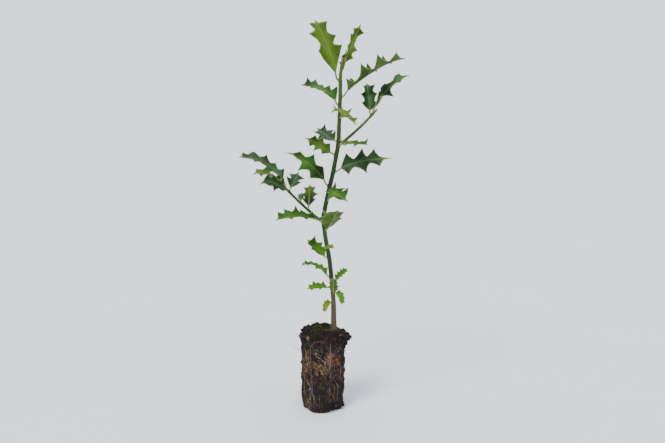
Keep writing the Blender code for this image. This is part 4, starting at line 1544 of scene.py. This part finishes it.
frames = []
for number in range(CRUMBS):
    on_side = rng.random() < SIDE_CRUMB_SHARE
    run = rng.uniform(0.03, 1.0) if on_side else 2.0 - math.sqrt(rng.uniform(0.0, 1.0))
    turn = rng.uniform(0.0, math.tau)
    place, normal = plug_point(turn, run)
    size = CRUMB_SIZE * math.exp(rng.normal(0.0, 0.38))
    if number < LARGE_CRUMBS:
        size *= LARGE_CRUMB_SHARE
    if place.z < size * 1.6:
        continue
    if math.hypot(place.x - STEM[0].right, place.y - STEM[0].away) < STEM_GAP:
        continue
    lean = (normal + Vector(rng.normal(0.0, 0.6, 3))).normalized()
    sizes = size * rng.uniform(0.65, 1.35, 3)
    frames.append(stood_frame(place, lean, rng.uniform(0.0, math.tau), sizes))
for heap in HEAPS:
    for _ in range(heap.count):
        turn = math.radians(heap.bearing) + rng.normal(0.0, heap.spread) / RIM_RADIUS
        run = (heap.up + rng.normal(0.0, heap.spread * 0.6)) / SIDE_HEIGHT
        size = heap.size * math.exp(rng.normal(0.0, 0.35))
        place, normal = plug_point(turn, min(max(run, 0.0), 1.2))
        place += normal * size * rng.uniform(-0.2, 0.7)
        place.z = max(place.z, size * 1.5)
        sizes = size * rng.uniform(0.6, 1.4, 3)
        frames.append(stood_frame(place, Vector(rng.normal(0.0, 1.0, 3)), 0.0, sizes))
crumbs = joined_copies("plug_crumbs", crumb_pattern(), frames, rng.random(len(frames)))
settle(crumbs, "compost")

# %% [markdown]
# ### Finish of the compost
#
# Moist peat is nearly black with a purple-brown cast, and dries to brown on its high points. The
# `patch` group adds the places that differ: the rusty patch on the right, green algae low on the
# front, and mossy ground round the stem.

# %% Compost finish
PEAT = (0.0090, 0.0062, 0.0058)
PEAT_DRY = (0.040, 0.025, 0.020)
PEAT_PURPLE = (0.020, 0.0115, 0.0130)
CRUMB_PALE = (0.120, 0.080, 0.052)
CRUMB_DARK = (0.0075, 0.0055, 0.0050)
Place = namedtuple("Place", "at reach shade")
PLACES = (
    Place((0.0120, -0.0230, 0.0640), 0.0100, (0.070, 0.028, 0.015)),
    Place((0.0176, -0.0200, 0.0580), 0.0035, (0.170, 0.036, 0.022)),
    Place((-0.0210, -0.0130, 0.0520), 0.0100, (0.060, 0.042, 0.028)),
    Place((-0.0030, -0.0240, 0.0315), 0.0040, (0.026, 0.052, 0.014)),
    Place((0.0130, -0.0240, 0.0300), 0.0060, (0.020, 0.030, 0.013)),
    Place((0.0200, -0.0130, 0.0450), 0.0100, (0.036, 0.016, 0.017)),
    Place((0.0010, 0.0080, 0.0950), 0.0120, (0.026, 0.046, 0.012)),
    Place((0.0105, 0.0030, 0.0950), 0.0110, (0.090, 0.078, 0.022)),
)


def compost_finish(name, own_tone):
    """Moist peat with its places. With own_tone, each crumb has a shade of its own."""
    finish, tree, shader = new_finish(name, 0.90, specular=0.12)
    coords = object_coords(tree)
    dry = blotch_mask(tree, coords, 380.0, 0.42, 0.68)
    shade = blend_colour(tree, dry, PEAT, PEAT_DRY)
    cast = blotch_mask(tree, coords, 90.0, 0.45, 0.60)
    shade = marked(tree, shade, 0.6, cast, PEAT_PURPLE)
    for spot in PLACES:
        there = use_group(tree, patch, {"Vector": coords, "Centre": spot.at,
                                        "Reach": spot.reach, "Raggedness": 1.6})
        shade = marked(tree, shade, 0.75, there["Mask"], spot.shade)
    if own_tone:
        tone = stored(tree, "tone")
        pale = ramp_between(tree, tone, 0.90, 1.0, 0.0, 0.70)
        shade = blend_colour(tree, pale, shade, CRUMB_PALE)
        dark = ramp_between(tree, tone, 0.7, 0.1, 0.0, 0.8)
        shade = blend_colour(tree, dark, shade, CRUMB_DARK)
    tree.links.new(shade, shader.inputs["Base Color"])
    tree.links.new(ramp_between(tree, dry, 0.0, 1.0, 0.72, 0.95), shader.inputs["Roughness"])
    add_grain(tree, shader, coords, 1800.0, 0.00035, 0.9)
    return finish


plug.data.materials.append(compost_finish("compost", False))
crumbs.data.materials.append(compost_finish("compost_crumb", True))
print("compost finished")

# %% [markdown]
# ### Roots
#
# In a cell the roots run down the ribs and mat over the flat sides. A root is a thin tube that
# keeps to the surface. Many wander downwards from a seeded random start, and short curly ones lie
# in mats on the front. The ones that show in the photograph are given by their places there, in
# millimetres to the right and up. A few are loose and stick out of the plug.


# %% Helpers for roots
ROOT_LIFT = 0.0002
MAT_LIFT = 0.00022
FRONT_WANDER = 0.008
FRONT_STEPS = 10
LOOSE_STEPS = 6
WANDER_STEP = 0.0010
MAT_STEP = 0.0006
SIDE_RADIUS = 0.026
MAT_REACH = 0.0225
ROOT_SIDES = 5


def front_turn(right, height):
    """The angle at which the plug's front side lies this far to the right, in metres."""
    turn = math.radians(270.0)
    for _ in range(12):
        reach = ball_radius(turn, height)
        turn = math.tau - math.acos(max(-1.0, min(1.0, right / reach)))
    return turn


def surface_path(marks, radius, lift):
    """A root's points and radii along a list of angle and run, kept on the surface."""
    points = []
    radii = []
    for number, (turn, run) in enumerate(marks):
        place, normal = plug_point(turn, run)
        share = number / (len(marks) - 1)
        thin = min(1.0, 0.35 + 3.0 * share, 0.25 + 2.2 * (1.0 - share))
        high = max(radius * 0.3, lift * (1.0 + noise.noise(place * 420.0)))
        spot = place + normal * high
        spot.z = max(spot.z, radius * 1.1)
        points.append(spot)
        radii.append(radius * thin)
    return points, radii


def front_root(places, radius):
    """A root through places on the front, in millimetres to the right and up."""
    rows = [Vector((right / 1000.0, 0.0, height / 1000.0)) for right, height in places]
    marks = []
    for row in range(len(rows) - 1):
        for step in range(FRONT_STEPS):
            spot = curve_through(rows, row + step / FRONT_STEPS)
            shake = FRONT_WANDER * noise.noise(spot * 700.0)
            marks.append((front_turn(spot.x, spot.z) + shake, spot.z / SIDE_HEIGHT))
    return surface_path(marks, radius, ROOT_LIFT)


def step_on(turn, run, heading, step):
    """The next angle and run of a root that creeps over the side."""
    return (turn + math.cos(math.radians(heading)) * step / SIDE_RADIUS,
            run + math.sin(math.radians(heading)) * step / SIDE_HEIGHT)


def wandering_root(radius):
    """A root that starts at a seeded place and wanders down the side."""
    turn = rng.uniform(0.0, math.tau)
    run = rng.uniform(0.10, 1.04)
    heading = rng.normal(-90.0, 45.0)
    length = rng.uniform(0.008, 0.050)
    marks = []
    for _ in range(int(length / WANDER_STEP)):
        marks.append((turn, run))
        heading += rng.normal(0.0, 13.0) - 0.06 * (heading + 90.0)
        turn, run = step_on(turn, run, heading, WANDER_STEP)
        if not 0.02 < run < 1.08:
            break
    if len(marks) < 5:
        return None
    return surface_path(marks, radius, ROOT_LIFT)


def loose_root(radius, places):
    """A root that sticks out of the plug, through places in millimetres."""
    rows = [Vector(place) / 1000.0 for place in places]
    count = (len(rows) - 1) * LOOSE_STEPS + 1
    points = [curve_through(rows, step / LOOSE_STEPS) for step in range(count)]
    return points, [radius * (1.0 - 0.6 * number / count) for number in range(count)]


def matted_root(mat):
    """A short curly root of a mat on the plug's front."""
    right = rng.normal(mat.right, mat.wide) / 1000.0
    height = rng.normal(mat.up, mat.high) / 1000.0
    height = min(max(height, 0.002), SIDE_HEIGHT)
    turn = front_turn(min(max(right, -MAT_REACH), MAT_REACH), height)
    run = height / SIDE_HEIGHT
    heading = rng.uniform(0.0, 360.0)
    bend = rng.normal(0.0, 14.0)
    marks = []
    for _ in range(max(5, int(mat.length * rng.uniform(0.5, 1.4) / MAT_STEP))):
        marks.append((turn, run))
        heading += bend + rng.normal(0.0, 16.0)
        turn, run = step_on(turn, run, heading, MAT_STEP)
        run = min(max(run, 0.02), 1.05)
    return surface_path(marks, mat.radius * rng.uniform(0.7, 1.4), MAT_LIFT)


def tubes(name, paths, plain):
    """Join thin round tubes into one piece. The first ones are plain, the rest vary in tone."""
    points = []
    faces = []
    tones = []
    for order, (path, radii) in enumerate(paths):
        start = len(points)
        tone = 0.0 if order < plain else rng.random()
        last = len(path) - 1
        for number, (spot, radius) in enumerate(zip(path, radii)):
            along = (path[min(number + 1, last)] - path[max(number - 1, 0)]).normalized()
            side = along.orthogonal().normalized()
            other = along.cross(side)
            for corner in range(ROOT_SIDES):
                turn = math.tau * corner / ROOT_SIDES
                points.append(spot + (side * math.cos(turn) + other * math.sin(turn)) * radius)
                tones.append(tone)
        for row in range(last):
            base = start + row * ROOT_SIDES
            above = base + ROOT_SIDES
            for corner in range(ROOT_SIDES):
                following = (corner + 1) % ROOT_SIDES
                faces.append((base + corner, base + following, above + following, above + corner))
        end = start + last * ROOT_SIDES
        faces.append(tuple(start + corner for corner in reversed(range(ROOT_SIDES))))
        faces.append(tuple(end + corner for corner in range(ROOT_SIDES)))
    mesh = bpy.data.meshes.new(name)
    mesh.from_pydata([tuple(point) for point in points], [], faces)
    mesh.attributes.new("tone", "FLOAT", "POINT").data.foreach_set("value", tones)
    mesh.shade_smooth()
    piece = bpy.data.objects.new(name, mesh)
    bpy.context.collection.objects.link(piece)
    return piece


# %% [markdown]
# `orthogonal` picks its axis by the direction's largest part, so a tube that bends past a
# diagonal would get a twist. The roots are so thin that this doesn't show.

# %% Roots in the photograph and all round
FRONT_ROOTS = {
    "lilac": (
        (0.00030, ((8.7, 88), (8.8, 80), (8.6, 71), (8.7, 62), (8.5, 52), (8.6, 44), (8.4, 37))),
        (0.00028, ((-13.9, 80), (-13.8, 70), (-13.5, 60), (-13.2, 48), (-12.6, 37), (-11.2, 22),
                   (-9.8, 11), (-9, 4))),
        (0.00016, ((8.4, 40), (7.6, 30), (7.8, 20), (7.2, 11))),
        (0.00015, ((18, 52), (17.8, 42), (17.4, 31), (17.2, 20), (16.8, 9))),
        (0.00015, ((19, 80), (18.6, 70), (18.8, 62))),
        (0.00015, ((-4, 24), (-3.4, 15), (-4, 6))),
    ),
    "orange": (
        (0.00024, ((8.0, 73), (8.6, 68), (8.2, 62), (8.6, 56), (8.2, 50))),
        (0.00018, ((4, 70), (8, 68), (12, 70), (16, 67), (20, 69))),
        (0.00018, ((9, 64), (13, 62), (17, 64), (20.5, 60))),
        (0.00016, ((9, 59), (12, 57), (16, 59), (19, 56))),
        (0.00018, ((13, 73), (14, 67), (17, 62), (17.8, 57))),
        (0.00030, ((16.4, 59.5), (17.6, 58), (18.6, 57.5))),
    ),
    "tan": (
        (0.00024, ((-11, 57), (-8, 60), (-5, 57), (-2, 59), (1, 55), (4, 57))),
        (0.00022, ((-10, 51), (-7, 48), (-3, 50), (0, 47), (3, 50), (5, 47))),
        (0.00020, ((-8, 62), (-9, 56), (-6, 51), (-7, 45), (-4, 41))),
        (0.00022, ((-2, 61), (-3, 54), (0, 49), (-1, 43))),
        (0.00020, ((3, 61), (2, 54), (4.4, 49), (2.6, 44))),
        (0.00026, ((-22, 74), (-19, 70), (-20, 63), (-17, 58), (-18, 50), (-15, 45))),
        (0.00024, ((-16, 74), (-18.4, 67), (-16, 61), (-19, 54), (-18, 47))),
        (0.00022, ((-14.6, 70), (-16.8, 64), (-14.8, 58), (-17, 52))),
        (0.00024, ((-21, 66), (-17, 64), (-14, 66.4))),
        (0.00022, ((-21, 58), (-18, 56.6), (-14.6, 59))),
        (0.00024, ((-20.4, 20), (-18.6, 14), (-16.4, 11), (-14, 6))),
        (0.00024, ((-19.6, 8), (-17, 10.6), (-15, 16), (-13.6, 21))),
        (0.00022, ((-22, 48), (-21.4, 37), (-21.8, 26), (-20.8, 14))),
        (0.00020, ((12, 34), (13.6, 27), (12.6, 19), (14, 10))),
    ),
    "cream": (
        (0.00017, ((-7.9, 70), (-4.6, 67.4), (-2.4, 66), (0.6, 63.4), (2.4, 62), (5.8, 60))),
        (0.00036, ((-8.6, 71.4), (-7.7, 71.8), (-6.9, 71.0))),
        (0.00018, ((8.7, 75), (8.65, 69), (8.7, 62))),
        (0.00022, ((-4.4, 56.2), (-4.0, 55.6))),
        (0.00014, ((2.4, 62), (2.8, 57), (4.6, 54))),
        (0.00018, ((-18, 34), (-15.6, 30), (-16, 24))),
    ),
}
LOOSE_ROOTS = {
    "dark": (
        (0.00034, ((-22, -11, 72), (-26, -11.5, 72.6), (-30, -12, 74), (-34, -12, 77),
                   (-37.5, -12, 79))),
        (0.00014, ((-22, -10, 70), (-26, -10.6, 70.8), (-29.4, -11, 70.6))),
        (0.00015, ((22, -9, 14), (24.6, -9.6, 12.4), (26.2, -10, 9.4))),
        (0.00014, ((23, 6, 66), (26.4, 7, 66.4), (29, 8.4, 64))),
        (0.00015, ((2, 23, 40), (3, 26.6, 38.6), (3.6, 28.6, 35))),
    ),
    "cream": (
        (0.00013, ((20, -11, 20), (22.8, -12, 17.4), (24.2, -12.4, 13.6))),
        (0.00012, ((-20, 10, 30), (-23.6, 11.4, 28), (-25.6, 12, 24.6))),
    ),
}
Mat = namedtuple("Mat", "kind right up wide high count length radius")
MATS = (
    Mat("orange", 8.5, 66.0, 2.4, 4.0, 34, 0.0060, 0.00010),
    Mat("orange", 14.0, 61.0, 4.2, 4.4, 34, 0.0060, 0.00010),
    Mat("orange", 8.5, 57.0, 2.2, 2.6, 16, 0.0050, 0.00010),
    Mat("tan", 1.0, 53.0, 5.0, 4.2, 46, 0.0060, 0.00009),
    Mat("tan", -8.0, 53.0, 3.6, 4.6, 26, 0.0060, 0.00009),
    Mat("tan", -20.0, 54.0, 2.2, 7.0, 44, 0.0070, 0.00009),
    Mat("tan", -20.0, 32.0, 2.0, 7.0, 9, 0.0080, 0.00009),
    Mat("tan", -17.0, 9.0, 2.6, 4.0, 36, 0.0070, 0.00012),
    Mat("tan", 12.0, 48.0, 6.0, 6.0, 40, 0.0060, 0.00009),
    Mat("lilac", 14.0, 76.0, 5.0, 5.0, 30, 0.0060, 0.00010),
    Mat("lilac", -6.0, 76.0, 6.0, 5.0, 34, 0.0060, 0.00010),
    Mat("lilac", 2.0, 24.0, 9.0, 9.0, 44, 0.0070, 0.00010),
    Mat("cream", 9.0, 64.0, 3.0, 6.0, 22, 0.0050, 0.00008),
    Mat("cream", -9.0, 58.0, 8.0, 8.0, 18, 0.0050, 0.00008),
)
WANDERERS = {"lilac": (60, 0.00013), "orange": (14, 0.00014), "tan": (60, 0.00011),
             "cream": (10, 0.00007), "dark": (150, 0.00015)}
ROOT_SHADES = {
    "lilac": ((0.210, 0.150, 0.140), (0.060, 0.040, 0.038)),
    "orange": ((0.420, 0.190, 0.080), (0.080, 0.030, 0.014)),
    "tan": ((0.380, 0.230, 0.100), (0.060, 0.036, 0.018)),
    "cream": ((0.700, 0.620, 0.480), (0.420, 0.320, 0.200)),
    "dark": ((0.036, 0.022, 0.018), (0.014, 0.009, 0.008)),
}


def root_finish(kind):
    """A dull root finish with two shades, by root and by blotches along it."""
    first, second = ROOT_SHADES[kind]
    finish, tree, shader = new_finish("root_" + kind, 0.62, specular=0.25)
    coords = object_coords(tree)
    spots = sum_of(tree, "MULTIPLY", blotch_mask(tree, coords, 520.0, 0.4, 0.6), 0.5)
    share = sum_of(tree, "MULTIPLY_ADD", stored(tree, "tone"), 0.5, spots)
    tree.links.new(blend_colour(tree, share, first, second), shader.inputs["Base Color"])
    add_grain(tree, shader, coords, 3500.0, 0.00008)
    return finish


for kind, (count, radius) in WANDERERS.items():
    paths = [front_root(places, wide) for wide, places in FRONT_ROOTS.get(kind, ())]
    paths += [loose_root(wide, places) for wide, places in LOOSE_ROOTS.get(kind, ())]
    paths += [matted_root(mat) for mat in MATS if mat.kind == kind for _ in range(mat.count)]
    paths += [wandering_root(radius * rng.uniform(0.6, 1.4)) for _ in range(count)]
    paths = [path for path in paths if path]
    roots = tubes(kind + "_roots", paths, len(FRONT_ROOTS.get(kind, ())))
    roots.data.materials.append(root_finish(kind))
    settle(roots, "compost")

# %% [markdown]
# ### Moss
#
# Cushion moss grows on the plug's damp top: dark green behind, ochre round the stem and brown on
# the left. A moss leaf is a narrow plane, bent outwards and pointed, and thousands stand in tufts.

# %% Moss
Tuft = namedtuple("Tuft", "name at spread leaves length first second")
TUFTS = (
    Tuft("dark_moss", (0.001, 0.008), 0.0085, 1500, 0.0022, (0.020, 0.042, 0.010),
         (0.060, 0.085, 0.022)),
    Tuft("ochre_moss", (0.0095, 0.002), 0.0085, 1100, 0.0018, (0.150, 0.135, 0.030),
         (0.060, 0.070, 0.018)),
    Tuft("brown_moss", (-0.008, -0.002), 0.0085, 700, 0.0015, (0.110, 0.095, 0.045),
         (0.030, 0.036, 0.014)),
)


def moss_leaf():
    """One moss leaf, one unit long, pointed and bent outwards."""
    deselect()
    bpy.ops.mesh.primitive_grid_add(x_subdivisions=2, y_subdivisions=3, size=1.0)
    blade = bpy.context.object
    for point in blade.data.vertices:
        up = point.co.y + 0.5
        half = 0.26 * math.cos(up * math.pi / 2) ** 0.7 + 0.01
        point.co = (point.co.x * 2.0 * half, 0.35 * up ** 2 - 0.10 * abs(point.co.x), up)
    return blade


for tuft in TUFTS:
    frames = []
    while len(frames) < tuft.leaves:
        x, y = rng.normal(0.0, tuft.spread / 2, 2) + np.array(tuft.at)
        turn = math.atan2(y, x)
        share = math.hypot(x, y) / ball_radius(turn, SIDE_HEIGHT)
        if share > 0.97 or noise.noise(Vector((x, y, 0.3)) * 330.0) < -0.12:
            continue
        place, _ = plug_point(turn, 2.0 - share)
        lean = Vector((*rng.normal(0.0, 0.55, 2), 1.0)).normalized()
        long = tuft.length * rng.uniform(0.5, 1.25)
        sizes = (long * 0.8, long, long)
        frames.append(stood_frame(place - lean * 0.0003, lean, rng.uniform(0, math.tau), sizes))
    moss = joined_copies(tuft.name, moss_leaf(), frames, rng.random(len(frames)))
    finish, tree, shader = new_finish(tuft.name, 0.70, specular=0.15)
    spots = blotch_mask(tree, object_coords(tree), 260.0)
    share = sum_of(tree, "MULTIPLY", sum_of(tree, "ADD", stored(tree, "tone"), spots), 0.5)
    tree.links.new(blend_colour(tree, share, tuft.first, tuft.second), shader.inputs["Base Color"])
    moss.data.materials.append(finish)
    settle(moss, "compost")

# %% [markdown]
# ### A pebble and the buds in the axils
#
# A pinkish grey pebble sits in the rim. And above each leaf stalk is a bud that is hardly larger
# than a pinhead, which is where a shoot would start.

# %% Pebble
PEBBLE_RIGHT = -0.0166
PEBBLE_UP = 0.0910
PEBBLE_SIZE = (0.0033, 0.0025, 0.0027)
PEBBLE_SUNK = 0.0010

deselect()
bpy.ops.mesh.primitive_ico_sphere_add(subdivisions=4, radius=1.0)
pebble = bpy.context.object
pebble.name = "pebble"
turn = front_turn(PEBBLE_RIGHT, PEBBLE_UP)
place, normal = plug_point(turn, PEBBLE_UP / SIDE_HEIGHT)
for point in pebble.data.vertices:
    knock = 1.0 + 0.16 * noise.noise(point.co * 1.4) + 0.05 * noise.noise(point.co * 4.0)
    spot = Vector(size * part for size, part in zip(PEBBLE_SIZE, point.co)) * knock
    point.co = spot + place - normal * PEBBLE_SUNK
pick(pebble)
bpy.ops.object.shade_smooth()
pebble.data.materials.append(two_shade_finish(
    "pebble", 0.70, 0.25, (0.150, 0.100, 0.095), (0.060, 0.036, 0.034), (900.0, 0.35, 0.65),
    (2200.0, 0.00012)))
settle(pebble, "compost")

# %% Buds in the leaf axils
AXIL_BUD = 0.0011

deselect()
bpy.ops.mesh.primitive_uv_sphere_add(segments=10, ring_count=7, radius=1.0)
small_bud = bpy.context.object
for point in small_bud.data.vertices:
    up = (point.co.z + 1.0) / 2.0
    narrow = 0.55 * (1.0 - 0.55 * up)
    point.co = (point.co.x * narrow, point.co.y * narrow, up * 1.5)
frames = []
for leaf in LEAVES:
    centre, along, radius = limbs[leaf.limb].seat(leaf.at)
    outward = square_to(along, direction(leaf.bearing, leaf.rise))
    place = centre + outward * (radius + 0.0001) + along * 0.0011
    lean = (outward * 0.6 + along).normalized()
    size = AXIL_BUD * (1.0 if leaf.length > 0.03 else 0.7)
    frames.append(stood_frame(place, lean, 0.0, (size, size, size)))
axil_buds = joined_copies("axil_buds", small_bud, frames, rng.random(len(frames)))
pick(axil_buds)
bpy.ops.object.shade_smooth()
axil_buds.data.materials.append(bud_finish)
settle(axil_buds, "bud_scale")
